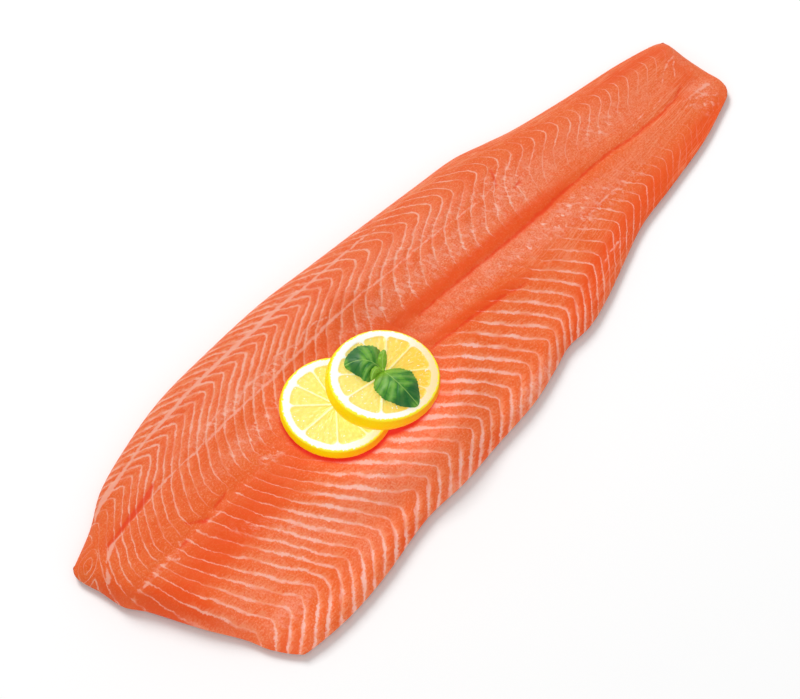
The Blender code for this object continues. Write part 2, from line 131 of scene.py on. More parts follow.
EDGE_TURN = 0.006
TURN_ROUND = 0.006
UPRIGHT = 0.35

# Seam number and the place of its upper tip
SEAM_TIPS = [
    (-13, -0.29), (0, -0.187), (6, -0.142), (11, -0.101), (16, -0.06), (21, -0.018), (26, 0.028),
    (31, 0.072), (36, 0.115), (60, 0.3),
]
FLAKE_DEPTH = 0.0004
BONE_GROOVE = 0.0004
LINE_GROOVE = 0.0003
CREASE_DEPTH = 0.00025
# The tail's flakes lie flatter: where that starts, where it is full, and by what share
TAIL_SMOOTH = (0.05, 0.13, 0.8)
# Depth, size and seed of the finest bumps, then share, size and seed of the seams' wandering
FINE_RELIEF = [(0.00012, 0.003, 31), (0.00008, 0.0016, 32)]
WANDER = [(0.15, 0.015, 11), (0.08, 0.006, 12)]
GROOVE_WIDTH = 0.003
LINE_GROOVE_END = 0.1
LINE_GROOVE_FADE = 0.05

# Mesh of the side
RIM_STEP = 0.001
RIM_INSETS = (0.0, 0.0003, 0.0007, 0.0013, 0.0021)
CLEAR_OF_RIM = 0.0028
GRID_STEP = 0.0009
FOOT_ROWS = 6
NOISE_CELLS = 256

# Width in mm of the white seams, at stations along the side, for each line across it
SEAM_STATIONS = (-0.225, -0.17, -0.12, -0.06, 0.0, 0.06, 0.11, 0.17, 0.23)
SEAM_WIDTHS = [
    (0, (0.9, 1.8, 1.7, 1.6, 1.5, 1, 0.5, 0.3, 0.1)),
    (0.6, (0.9, 2, 1.9, 1.7, 1.6, 1.1, 0.6, 0.4, 0.2)),
    (1, (0.8, 1.1, 1, 0.9, 1, 1, 0.7, 0.4, 0.2)),
    (1.1, (0.9, 1.3, 1.2, 1.1, 1.3, 1.2, 0.7, 0.4, 0.2)),
    (1.3, (1, 1.6, 1.9, 2.3, 2.4, 1.5, 0.6, 0.3, 0.1)),
    (1.5, (0.8, 1.3, 1.7, 1.8, 1.9, 1, 0.4, 0.1, 0)),
    (1.6, (0.5, 0.8, 1, 0.9, 1.1, 0.2, 0.4, 0, 0)),
    (1.67, (0.5, 0.5, 0.5, 0.3, 0.6, 0, 0, 0, 0)),
    (1.71, (0.5, 0.5, 0.5, 0.6, 0, 0, 0, 0, 0)),
    (1.92, (0.6, 0.6, 0.3, 0.1, 0, 0, 0, 0, 0)),
    (1.97, (1.2, 1, 0.3, 0, 0, 0, 0, 0, 0)),
    (2, (0, 0, 0, 0, 0, 0, 0, 0, 0)),
    (2.12, (0.5, 0.3, 0.2, 0, 0, 0, 0, 0, 0)),
    (2.3, (0.7, 0.6, 0.5, 0.4, 0.3, 0.4, 0.2, 0, 0)),
    (2.6, (0.7, 0.8, 0.8, 0.9, 1, 1, 0.5, 0.2, 0.1)),
    (3, (0.6, 0.9, 0.9, 1, 0.9, 0.7, 0.5, 0.4, 0.2)),
    (3.5, (0.4, 0.9, 1.1, 1.1, 0.9, 0.7, 0.6, 0.6, 0.3)),
    (4, (0.5, 1, 1.1, 1.1, 1, 0.8, 0.7, 0.6, 0.4)),
    (5, (0.6, 1.2, 1.2, 1.2, 0.9, 0.5, 0.3, 0.2, 0.1)),
    (6, (0.6, 1.3, 1.2, 1.2, 0.6, 0.3, 0.1, 0.1, 0)),
]

# Tapering strokes in mm on the page: x, y and half width. The first list is white fat,
# the second is creases and slits, whose painted shade is dark red
FAT_STROKES = [
    [(-210, 57, 0.1), (-204, 60.3, 1.2), (-198, 61.8, 2.2), (-190, 62.8, 1.7),
     (-184, 64.2, 1), (-176, 65.6, 0.7), (-166, 67.4, 0.7), (-155, 69, 0.7),
     (-140, 70, 1), (-125, 71.2, 0.9), (-105, 72, 1), (-80, 72, 1.1),
     (-60, 71.6, 1.1), (-45, 70.8, 0.8), (-28, 69.5, 0.7), (-5, 68.6, 0.6),
     (12, 68, 0.4), (30, 66.5, 0)],
    [(-223, 33, 0.2), (-219, 35.4, 1.1), (-215, 37.2, 1.2), (-211, 38.2, 0.4),
     (-200, 38.4, 0.1), (-188, 39.3, 0.1), (-178, 41, 0.3), (-170, 41.8, 0.5),
     (-160, 41.2, 0.3), (-140, 41.2, 0.4), (-120, 41.5, 0.5), (-100, 41.5, 0.4),
     (-80, 41.4, 0.6), (-60, 41.8, 0.7), (-40, 42, 0.7), (-20, 41.5, 0.5),
     (0, 40, 0.5), (15, 38.8, 0.2), (30, 38.2, 0.2), (48, 37.4, 0.2)],
    [(-138, 42.5, 0.1), (-131, 46.6, 0.5), (-121, 48.6, 0.4), (-112, 46.5, 0.1)],
    [(-110, 43.5, 0.1), (-104, 47.2, 0.4), (-96, 48.2, 0.5), (-88, 47, 0.4), (-82, 44.2, 0.1)],
    [(-84, 47, 0.1), (-76, 49.2, 0.4), (-68, 48.4, 0.5), (-61, 45.6, 0.2)],
    [(-60, 46, 0.1), (-52, 48.6, 0.4), (-44, 47.6, 0.5), (-37, 44.6, 0.1)],
    [(20, 38.2, 0.1), (40, 38, 0.3), (55, 36, 0.2), (68, 34.6, 0.2), (80, 34.2, 0.1),
     (92, 34.6, 0)],
    [(-229.5, 23.5, 0.3), (-228.2, 25.5, 1.2), (-226.5, 28.5, 0.7), (-225, 31, 0.1)],
    [(-218.5, 7.6, 0.4), (-216, 7.4, 0.6)], [(-211, 6.6, 0.4), (-208.5, 6, 0.5)],
    [(-203, 7.6, 0.5), (-201, 7, 0.3)], [(-197, 6.6, 0.6), (-194, 3.6, 0.3)],
    [(-189, 8.6, 0.3), (-187.5, 11.4, 0.3)], [(-169, 7, 0.4), (-160, 6.6, 0.2)],
    [(214, 12, 0), (220, 16, 0.1), (227, 18.5, 0.4), (233, 19.5, 0.2)],
    [(222, 8.5, 0), (226, 12, 0.1), (228, 16, 0.1), (231, 17, 0)],
    [(206, -8, 0), (214, -8.8, 0.2), (222, -12, 0.1), (226, -16, 0)],
    [(212, -5, 0), (222, -5.5, 0.2), (232, -6.5, 1), (236, -8, 0.2)],
    [(222, -8.5, 0), (229, -11, 0.4), (234, -15.5, 0.1)],
    [(180, 4.5, 0), (184, 6.4, 0.1), (189, 5.6, 0.1), (194, 6.4, 0)],
    [(196, 3.4, 0), (200, 4.8, 0.1), (206, 4, 0)],
    [(112, -16.5, 0), (125, -15.5, 0), (140, -14.5, 0.2), (146, -18, 0)],
    [(128, -40, 0), (118, -38.5, 0.2), (104, -41.5, 0.1), (96, -45, 0)],
]
CREASE_STROKES = [
    [(-216, 39.4, 0.2), (-200, 40.2, 0.9), (-190, 41.4, 1.2), (-182, 43, 1.2),
     (-177, 44.6, 0.6), (-174, 45.4, 0.1)],
    [(-178, 15.6, 0), (-173.5, 11.8, 0.3), (-170, 9.2, 0.8), (-167.5, 8.8, 0.3)],
    [(-161, 10.4, 0.1), (-157, 11.2, 0.3), (-151, 12.4, 0.1)],
    [(-190, 8.2, 0.2), (-184, 7.8, 0.3)],
    [(0, 9, 0.1), (20, 8, 0.2), (50, 6, 0.3), (70, 4.6, 0.4), (90, 4.2, 0.7),
     (105, 3.8, 0.9), (115, 4.2, 0.5), (130, 3.9, 0.2), (150, 3.4, 0.5), (165, 1.6, 0.5),
     (180, -0.6, 0.3), (200, -1.6, 0.3), (212, -0.4, 0.1), (221, 3, 0)],
    [(-10, -10.5, 0.1), (0, -11.5, 0.3), (20, -13.5, 0.4), (40, -16, 0.4), (60, -20, 0)],
    [(92, 33.5, 0.1), (95, 39, 0.3), (97, 44, 0.1)],
    [(98, 26, 0.1), (101, 26.5, 0.5), (104, 26, 0.1)],
]

# Soft patches in mm on the page: x, y, half length, half width, turn and strength
DEEP_PATCHES = [
    (-214, -14, 34, 10, -62, 1), (-165, -7, 60, 14, 3, 0.9), (-188, -70, 12, 7, -30, 0.6),
    (-196, 43, 22, 3.5, 5, 0.6), (-95, -76, 22, 4, 4, 0.8), (-30, -71, 36, 3.5, 2, 0.8),
    (62, -60, 34, 4, 14, 0.6), (30, 11.5, 66, 5.2, -4, 1), (95, 8.5, 40, 6, -3, 1),
    (28, -12, 42, 3.8, -9, 1), (150, -34, 62, 10, 8, 1), (80, -50, 40, 9, 18, 0.8),
    (205, 35, 32, 5, -12, 0.8), (230, 20, 6, 12, 0, 0.6), (125, -14, 25, 3, 0, 0.5),
    (-60, 8, 40, 8, 0, 0.8), (-110, 66, 120, 6, 2, 0.25), (222, 2, 14, 7, 20, 0.7),
    (215, -24, 22, 6, 12, 0.8), (-235, 22, 10, 9, 60, 0.6),
]
# Pale patches: partly paler flesh, partly painted sheen, and painted light where the flesh slopes
# down from under the slices
PALE_AND_SHEEN_PATCHES = [
    (-172, -57, 17, 6, 0, 0.9), (-118, -64, 20, 5, 3, 0.6), (-128, -42, 30, 12, -40, 0.4),
    (-72, -44, 45, 15, 0, 0.85), (-52, -73, 12, 3.5, 0, 0.8), (18, -65, 22, 4.5, 10, 0.8),
    (40, 0, 62, 6.5, -2, 0.95), (105, -8, 40, 7, -3, 0.8), (35, 25, 75, 8, -4, 0.85),
    (105, 25, 26, 13, -8, 0.9), (172, 18, 50, 13, -8, 0.75), (165, -9, 42, 7, 0, 0.45),
    (229, -6, 10, 6, -20, 1), (-105, 47, 48, 4, 0, 0.8), (-125, 25, 35, 6, 0, 0.6),
    (234, 12, 3, 12, 0, 0.5), (30, 45, 55, 7, -6, 0.7), (-178, -38, 36, 13, 10, 0.45),
]
# Patches of small white flecks, partly painted wet glints and sheen
FLECK_AND_GLINT_PATCHES = [
    (-115, 26, 28, 6, 8, 1), (0, 27, 45, 8, -3, 1), (45, 24, 45, 8, -6, 1),
    (95, 30, 20, 13, 0, 1), (-172, -60, 16, 5, 0, 0.8), (15, -65, 22, 4, 10, 0.9),
    (-105, 46, 48, 3.5, 0, 1), (30, 43, 50, 5, -4, 0.8), (-200, 8, 25, 2, 0, 0.6),
    (105, -8, 40, 9, -4, 0.8), (-118, 9, 10, 4, 0, 1), (165, 18, 15, 8, 0, 0.8),
    (-140, -25, 30, 5, -40, 0.7), (135, -18, 30, 5, 0, 0.6), (-80, 44, 30, 3, 0, 0.6),
    (60, -3, 60, 5, -2, 0.5), (225, -12, 10, 8, 0, 0.7), (-60, 74, 90, 3, 0, 0.5),
]
STRAND_PATCHES = [
    (60, 68, 62, 4, -8, 0.9), (130, 54, 36, 5, -14, 0.9), (190, 43, 42, 5, -10, 0.8),
    (95, -52, 32, 6, 17, 0.4), (150, -40, 60, 7, 8, 0.35), (205, -30, 26, 7, 8, 0.6),
    (95, -20, 32, 9, -14, 1), (205, -2, 32, 14, 0, 0.9), (150, 16, 36, 12, -6, 0.5),
    (215, 22, 20, 10, 0, 0.6), (150, -12, 40, 8, 0, 0.6),
]

# The closed loops at the head tip: middle, spacing, how long they are drawn out and number
LOOP_CENTRE = (-0.2305, 0.0405)
LOOP_STEP = 0.0027
LOOP_TURN = 24.0
LOOP_LENGTH = 1.8
LOOP_NUMBER = -1.0

# The lemon slices: the middle of the top face, half the long and short axes, the way the
# long axis points, the tilt, which lowers the tail side, and the sag of the face; then the
# seed of its bumps, how far the red shadow painted round it is shifted, and the angles at
# which its segments are cut
SLICE_THICK = 0.011
SLICES = {
    "lemon_slice_lower": dict(centre=(-0.0746, 0.0013, 0.0363), long=0.0311, short=0.0282,
                              turn=-58.0, tilt=0.0, sag=0.0, seed=3, glow=(-0.0004, -0.0007),
                              cuts=(78, 107, 136, 177, 227, 269, 304, 339, 12, 45)),
    "lemon_slice_upper": dict(centre=(-0.0462, -0.009, 0.0484), long=0.0322, short=0.0291,
                              turn=164.0, tilt=14.0, sag=1.4, seed=8, glow=(0.0006, 0.003),
                              cuts=(41, 7, 328, 297, 261, 219, 172, 139, 112, 76)),
}
PULP_SHARE = 0.845
PITH_SHARE = 0.955
RIND_BULGE = 0.0011
RIND_CHAMFER = 0.0014
BED_HEIGHT = 0.025
BED_REACH = 0.032
BED_MARGIN = 0.004
GAP = 0.0003
SLICE_AROUND = 360
PULP_ROWS = 40
RIM_ROWS = 5
WALL_ROWS = 12
CHAMFER_ROWS = 5
BASE_ROWS = 12
FINE_SHARE = 0.83
PULP_HOLLOW = 0.0004
# How far the red shadow painted round the slices reaches
PAINTED_SHADOW_REACH = 0.0025
# In mm: half a membrane's width, how widely a segment's outer and inner corners turn, and
# how much its outer end wanders
MEMBRANE = 0.22
CORNER_ROUND = 3.0
CORE_ROUND = 0.8
END_WANDER = 0.35
# The pulp's bumps and the rind's pores: depth, size, and the radius at which they are laid out
PULP_BUMPS = (0.00018, 0.0016, 0.018)
RIND_PORES = (0.00012, 0.0011, 0.03)

# The basil sprig, in the upper slice's own plane: base, crest and tip of each leaf with
# their heights over the slice, then its half widths to the right and left of the rib
LEAVES = [
    dict(base=(-0.0003, 0.002, 0.0016), crest=(-0.005, 0.0114, 0.0062), rows=(84, 56),
         tip=(-0.0138, 0.018, 0.0016), right=0.0126, left=0.0112, droop=0.0036),
    dict(base=(0.0, 0.0014, 0.0016), crest=(-0.0017, -0.012, 0.0058), rows=(84, 56),
         tip=(-0.0012, -0.0264, 0.0014), right=0.0118, left=0.013, droop=0.0034),
    dict(base=(-0.0002, 0.0017, 0.002), crest=(0.0036, 0.0064, 0.0068), rows=(30, 16),
         tip=(0.0076, 0.0086, 0.0072), right=0.0026, left=0.0026, droop=0.001),
    dict(base=(-0.0004, 0.0015, 0.002), crest=(-0.005, 0.0036, 0.0066), rows=(30, 16),
         tip=(-0.011, 0.001, 0.005), right=0.002, left=0.0024, droop=0.001),
]
LEAF_THICK = 0.0005
LEAF_WIDEST = 0.38
LEAF_FULLNESS = 0.65
LEAF_WAVE = 0.0005
LEAF_WAVES = 3.5
LEAF_END_WIDTH = 0.04
STEM_RADIUS = 0.0011
STEM_FOOT = 0.0006
STEM_SIDES = 20
# Share of the stem's radius and height over its foot
STEM_ROWS = [(0.5, 0.0), (0.85, 0.0001), (1.0, 0.0005), (0.95, 0.0012), (1.0, 0.0019),
             (0.85, 0.0023), (0.5, 0.0024)]
VEINS = 4.6
VEIN_SWEEP = 0.42
QUILT = 0.0002
TEETH = 15
TOOTH_DEPTH = 0.035

# The lights: place, size and power
WORLD_STRENGTH = 0.56
KEY_LIGHT = ((1.04, 3.6, 3.61), 2.0, 190.0)
FILL_LIGHT = ((-1.25, -1.35, 0.95), 1.2, 13.0)
FLOOR_HALF = 6.0
FLOOR_WHITE = 0.99

# The camera
CAMERA_LENS = 100.0
CAMERA_DISTANCE = 1.2711
CAMERA_AZIMUTH = -46.0
CAMERA_ELEVATION = 68.0
CAMERA_TARGET = (-0.0213, 0.0038, 0.012)


def round_angles(count):
    """Even angles round a circle."""
    return 2 * math.pi * np.arange(count) / count


def unit(t):
    """The value, held between 0 and 1."""
    return np.clip(t, 0.0, 1.0)


def smooth(stations, x):
    """A smooth curve through the stations, read at x."""
    xs, ys = np.array(stations, dtype=float).T
    slopes = np.gradient(ys, xs)
    place = np.clip(np.searchsorted(xs, x) - 1, 0, len(xs) - 2)
    step = xs[place + 1] - xs[place]
    t = unit((x - xs[place]) / step)
    rise = ys[place + 1] - ys[place]
    bend = (slopes[place] * step - rise) * (1 - t) - (slopes[place + 1] * step - rise) * t
    return ys[place] + t * rise + t * (1 - t) * bend


def closed_curve(points, per_span):
    """A closed Catmull-Rom curve through the points."""
    knots = np.array(points)
    before = np.roll(knots, 1, axis=0)
    after = np.roll(knots, -1, axis=0)
    beyond = np.roll(knots, -2, axis=0)
    rows = []
    for t in np.arange(per_span) / per_span:
        rows.append(0.5 * (2 * knots + (after - before) * t
                           + (2 * before - 5 * knots + 4 * after - beyond) * t ** 2
                           + (3 * knots - before - 3 * after + beyond) * t ** 3))
    return np.stack(rows, axis=1).reshape(-1, 2)


def even_steps(curve, step):
    """The closed curve's points again, at even steps."""
    ring = np.vstack([curve, curve[:1]])
    length = np.concatenate([[0.0], np.cumsum(np.hypot(*np.diff(ring, axis=0).T))])
    count = int(round(length[-1] / step))
    at = np.arange(count) * length[-1] / count
    return np.stack([np.interp(at, length, ring[:, 0]), np.interp(at, length, ring[:, 1])], axis=1)


def inset_ring(ring, inset):
    """The ring moved inwards; it runs clockwise seen from above."""
    along = np.roll(ring, -1, axis=0) - np.roll(ring, 1, axis=0)
    along /= np.linalg.norm(along, axis=1)[:, None]
    inward = np.stack([along[:, 1], -along[:, 0]], axis=1)
    return ring + inward * inset


def distance_to(line, x, y, closed=True):
    """The distance from each point to a line of straight pieces."""
    starts = line if closed else line[:-1]
    ends = np.roll(line, -1, axis=0) if closed else line[1:]
    best = np.full(np.shape(x), 1.0)
    for start, end in zip(starts, ends):
        run = end - start
        t = np.clip(((x - start[0]) * run[0] + (y - start[1]) * run[1]) / (run @ run), 0, 1)
        best = np.minimum(best, np.hypot(x - start[0] - t * run[0], y - start[1] - t * run[1]))
    return best


def inside(ring, x, y):
    """Whether each point is inside the ring."""
    crossings = np.zeros(np.shape(x), dtype=int)
    for start, end in zip(ring, np.roll(ring, -1, axis=0)):
        if start[1] == end[1]:
            continue
        at = start[0] + (y - start[1]) / (end[1] - start[1]) * (end[0] - start[0])
        crossings += ((start[1] > y) != (end[1] > y)) & (x < at)
    return crossings % 2 == 1


RIM = even_steps(closed_curve(BACK_EDGE + TAIL_CUT + BELLY_EDGE[::-1] + HEAD_CUT[::-1], 8),
                 RIM_STEP)
OUTLINE = RIM[::3]
HEAD_LINE = np.array(HEAD_CUT + BELLY_EDGE[:1])


def soft_ramp(t, width):
    """0 for negative t and t for positive t, with a rounded turn."""
    return 0.5 * (t + np.sqrt(t * t + width * width))


def soft_step(t):
    """A smooth rise from 0 at 0 to 1 at 1."""
    t = unit(t)
    return t * t * (3 - 2 * t)


def noise(x, y, size, seed):
    """Smooth random values from -1 to 1, in bumps of about the given size."""
    table = np.random.default_rng(seed).uniform(-1.0, 1.0, (NOISE_CELLS, NOISE_CELLS))
    column = np.floor(x / size).astype(int)
    row = np.floor(y / size).astype(int)
    u = soft_step(x / size - column)
    v = soft_step(y / size - row)
    right = (column + 1) % NOISE_CELLS
    above = (row + 1) % NOISE_CELLS
    column = column % NOISE_CELLS
    row = row % NOISE_CELLS
    low = table[row, column] * (1 - u) + table[row, right] * u
    high = table[above, column] * (1 - u) + table[above, right] * u
    return low * (1 - v) + high * v


def turned(x, y, degrees):
    """How far each place lies along and across a direction."""
    angle = math.radians(degrees)
    return x * math.cos(angle) + y * math.sin(angle), y * math.cos(angle) - x * math.sin(angle)


def seam_run(x, y):
    """How far towards the tail a seam has run at y, from anywhere above the side."""
    rim, band, loin, centre, belly, edge_start, edge, tip, lower_tip, bone = (
        np.interp(x, RUN_STATIONS, run)
        for run in (RUN_RIM, RUN_BAND, RUN_LOIN, RUN_CENTRE, RUN_BELLY, RUN_EDGE_START, RUN_EDGE,
                    TIP_ROUND, LOWER_TIP_ROUND, BONE_ROUND))
    side_line = smooth(SIDE_LINE, x)
    bone_line = smooth(BONE_LINE, x)
    upright = bone_line + UPRIGHT * (side_line - bone_line)
    total = -rim * y
    turns = ((smooth(UPPER_BAND, x), band - rim, TURN_ROUND),
             (smooth(UPPER_TIPS, x), loin - band, tip),
             (side_line, centre - loin, TURN_ROUND),
             (upright, -centre, TURN_ROUND),
             (bone_line, belly, bone),
             (smooth(LOWER_TIPS, x), edge_start - belly, lower_tip),
             (smooth(LOWER_TIPS, x) - EDGE_TURN, edge - edge_start, EDGE_TURN))
    for line, change, width in turns:
        total = total + change * soft_ramp(line - y, width)
    return total


TIP_NUMBERS = np.linspace(SEAM_TIPS[0][0], SEAM_TIPS[-1][0], 600)
TIP_PLACES = smooth(SEAM_TIPS, TIP_NUMBERS)


def seam_number(x, y):
    """A whole number on each seam, a half in the middle of each flake."""
    shift = seam_run(x, y) - seam_run(x, smooth(UPPER_TIPS, x))
    return np.interp(x - shift, TIP_PLACES, TIP_NUMBERS)


def wandering_seam(x, y):
    """The seam number, with seams that wander a little as real ones do."""
    wander = sum(share * noise(x, y, size, seed) for share, size, seed in WANDER)
    along, across = turned(x - LOOP_CENTRE[0], y - LOOP_CENTRE[1], LOOP_TURN)
    reach = (np.abs(along / LOOP_LENGTH) ** 1.5 + np.abs(across) ** 1.5) ** (2 / 3)
    loops = LOOP_NUMBER - reach / LOOP_STEP
    return np.maximum(seam_number(x, y), loops) + wander


def seam_gap(x, y):
    """The distance in mm from seam to seam."""
    step = 0.0003
    along = (seam_number(x + step, y) - seam_number(x - step, y)) / (2 * step)
    across = (seam_number(x, y + step) - seam_number(x, y - step)) / (2 * step)
    return np.clip(1.0 / np.hypot(along, across) / MM, 1.2, 12.0)


def line_number(x, y):
    """0 at the belly edge, then 1 to 5 on the fish's lines, and 6 at the back edge."""
    lines = [smooth(BELLY_EDGE, x), smooth(LOWER_TIPS, x), smooth(BONE_LINE, x),
             smooth(SIDE_LINE, x), smooth(UPPER_TIPS, x), smooth(UPPER_BAND, x),
             smooth(BACK_EDGE, x)]
    number = np.zeros(np.shape(x))
    for low, high in zip(lines, lines[1:]):
        number += unit((y - low) / np.maximum(high - low, 0.001))
    return number


def seam_width(x, y):
    """The width in mm of the white seams."""
    number = line_number(x, y)
    rows = [np.interp(x, SEAM_STATIONS, widths) for _, widths in SEAM_WIDTHS]
    places = [place for place, _ in SEAM_WIDTHS]
    width = rows[0]
    for low, high, row in zip(places, places[1:], rows[1:]):
        width = width + (row - width) * unit((number - low) / (high - low))
    return width


def seam_lean(x, y):
    """1 where the soft side of a seam faces the tail, and -1 where it faces the head."""
    number = line_number(x, y)
    return 1 - 2 * soft_step((number - 4.0) / 0.2) + 2 * soft_step((number - 5.0) / 0.2)


def share_across(x, y):
    """0 at the belly edge and 1 at the back edge."""
    low = smooth(BELLY_EDGE, x)
    high = smooth(BACK_EDGE, x)
    return unit((y - low) / (high - low))


def rounding(distance, reach):
    """A quarter circle's rise, from 0 at the rim to 1."""
    left = 1.0 - unit(distance / reach)
    return np.sqrt(1.0 - left * left)


def bed_share(x, y):
    """1 under the lemon slices, fading to 0 around them."""
    share = np.zeros(np.shape(x))
    for shape in SLICES.values():
        away = np.hypot(x - shape["centre"][0], y - shape["centre"][1])
        inner = shape["long"] + BED_MARGIN
        share = np.maximum(share, soft_step((inner + BED_REACH - away) / BED_REACH))
    return share


def stroke_distance(strokes, x, y):
    """The distance in mm to the nearest tapering stroke, negative inside it."""
    x = x / MM + 0.5 * noise(x, y, 0.007, 21)
    y = y / MM + 0.5 * noise(x * MM, y, 0.005, 22)
    best = np.full(np.shape(x), 20.0)
    for stroke in strokes:
        for (x0, y0, r0), (x1, y1, r1) in zip(stroke, stroke[1:]):
            run_x = x1 - x0
            run_y = y1 - y0
            t = ((x - x0) * run_x + (y - y0) * run_y) / (run_x ** 2 + run_y ** 2)
            t = unit(t)
            away = np.hypot(x - x0 - t * run_x, y - y0 - t * run_y)
            best = np.minimum(best, away - r0 - (r1 - r0) * t)
    return best


def patches(listed, x, y):
    """The strength of the listed soft patches, from 0 to 1."""
    total = np.zeros(np.shape(x))
    for at_x, at_y, long, wide, turn, strength in listed:
        along, across = turned(x / MM - at_x, y / MM - at_y, turn)
        total += strength * np.exp(-((along / long) ** 2 + (across / wide) ** 2) ** 1.5)
    return unit(total)


def slice_glow(x, y):
    """1 in the red shadow painted close round the slices, shifted for each by its own value."""
    glow = np.zeros(np.shape(x))
    for shape in SLICES.values():
        off_x = x - shape["centre"][0] - shape["glow"][0]
        off_y = y - shape["centre"][1] - shape["glow"][1]
        away = np.hypot(off_x, off_y) - slice_radius(shape, np.arctan2(off_y, off_x))
        glow = np.maximum(glow, soft_step(1 - away / PAINTED_SHADOW_REACH))
    return glow


def side_height(x, y, seam, crease):
    """The height of the side's upper surface."""
    thick = smooth(THICKNESS, x) * smooth(ACROSS, share_across(x, y))
    bed = bed_share(x, y)
    thick = thick * (1 - bed) + (BED_HEIGHT - GAP) * bed
    calm = TAIL_SMOOTH[2] * soft_step((x - TAIL_SMOOTH[0]) / (TAIL_SMOOTH[1] - TAIL_SMOOTH[0]))
    relief = FLAKE_DEPTH * (1 - calm) * (np.abs(np.sin(math.pi * seam)) - 1.0)
    off_bone = (y - smooth(BONE_LINE, x)) / GROOVE_WIDTH
    off_line = (y - smooth(SIDE_LINE, x)) / GROOVE_WIDTH
    fade = unit((LINE_GROOVE_END - x) / LINE_GROOVE_FADE)
    relief -= BONE_GROOVE * np.exp(-off_bone ** 2) * (1 - bed)
    relief -= LINE_GROOVE * fade * np.exp(-off_line ** 2) * (1 - bed)
    relief -= CREASE_DEPTH * np.exp(-np.maximum(crease, 0.0) ** 2 / 2.0)
    relief -= sum(depth * (1 + noise(x, y, size, seed)) for depth, size, seed in FINE_RELIEF)
    rise = rounding(distance_to(OUTLINE, x, y), SIDE_ROUND)
    slope = rounding(distance_to(HEAD_LINE, x, y, False), HEAD_SLOPE)
    rise = rise * (HEAD_RIM_SHARE + (1 - HEAD_RIM_SHARE) * slope)
    return RIM_HEIGHT + (thick + relief - RIM_HEIGHT) * rise


def side_plan():
    """A grid over the side and the triangles that join it to the inner ring."""
    inner = inset_ring(RIM, RIM_INSETS[-1])
    xs = np.arange(RIM[:, 0].min(), RIM[:, 0].max(), GRID_STEP)
    ys = np.arange(RIM[:, 1].min(), RIM[:, 1].max(), GRID_STEP)
    x, y = np.meshgrid(xs, ys)
    kept = inside(OUTLINE, x, y) & (distance_to(OUTLINE, x, y) > CLEAR_OF_RIM)
    cells = kept[:-1, :-1] & kept[:-1, 1:] & kept[1:, :-1] & kept[1:, 1:]
    used = np.zeros_like(kept)
    for rows, columns in ((slice(0, -1), slice(0, -1)), (slice(0, -1), slice(1, None)),
                          (slice(1, None), slice(0, -1)), (slice(1, None), slice(1, None))):
        used[rows, columns] |= cells
    index = np.full(kept.shape, -1)
    index[used] = len(inner) + np.arange(used.sum())
    quads = np.stack([index[:-1, :-1][cells], index[:-1, 1:][cells],
                      index[1:, 1:][cells], index[1:, :-1][cells]], axis=1)
    places = np.vstack([inner, np.stack([x[used], y[used]], axis=1)])
    edges = border_edges(quads)
    border = np.unique(edges)
    local = {vertex: len(inner) + k for k, vertex in enumerate(border)}
    points = [tuple(point) for point in inner] + [tuple(places[vertex]) for vertex in border]
    links = [(local[a], local[b]) for a, b in edges]
    links += [(k, (k + 1) % len(inner)) for k in range(len(inner))]
    found, _, faces, sources, _, _ = delaunay_2d_cdt(points, links, [], 0, 1e-7, True)
    whole = list(range(len(inner))) + list(border)
    strip = []
    for face in faces:
        middle = np.mean([found[k] for k in face], axis=0)
        column = int((middle[0] - xs[0]) / GRID_STEP)
        row = int((middle[1] - ys[0]) / GRID_STEP)
        in_grid = 0 <= row < cells.shape[0] and 0 <= column < cells.shape[1] and cells[row, column]
        if not in_grid and inside(inner, middle[0], middle[1]):
            strip.append([whole[sources[k][0]] for k in face])
    return places, quads.tolist() + strip, len(inner)


def ring_of(first, count, number):
    """The point numbers of one closed ring, counted from the first ring."""
    return list(range(first + number * count, first + (number + 1) * count))


def band(upper, lower):
    """The faces between two closed rings of as many points."""
    return list(zip(upper, upper[1:] + upper[:1], lower[1:] + lower[:1], lower))


def border_edges(quads):
    """The edges that only one of the quads has."""
    edges = np.vstack([quads[:, [k, (k + 1) % 4]] for k in range(4)])
    _, first, count = np.unique(np.sort(edges, axis=1), axis=0, return_index=True,
                                return_counts=True)
    return edges[first[count == 1]]


def new_object(name, points, faces, material, angle=60):
    """A piece of the visual model from page points and faces, riding on the root body."""
    mesh = bpy.data.meshes.new(name)
    points = np.asarray(points, dtype=float) - (*PAGE_CENTRE, 0.0)
    mesh.from_pydata(points.tolist(), [], faces)
    shape = bmesh.new()
    shape.from_mesh(mesh)
    bmesh.ops.recalc_face_normals(shape, faces=shape.faces)
    shape.to_mesh(mesh)
    shape.free()
    mesh.shade_smooth()
    mesh.set_sharp_from_angle(angle=math.radians(angle))
    mesh.materials.append(material)
    thing = bpy.data.objects.new(name, mesh)
    bpy.context.scene.collection.objects.link(thing)
    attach(thing, "root")
    return thing


def give(thing, **fields):
    """Keep one number for each point of the mesh under each of the names."""
    for name, values in fields.items():
        layer = thing.data.attributes.new(name, "FLOAT", "POINT")
        layer.data.foreach_set("value", np.asarray(values, dtype=np.float32))


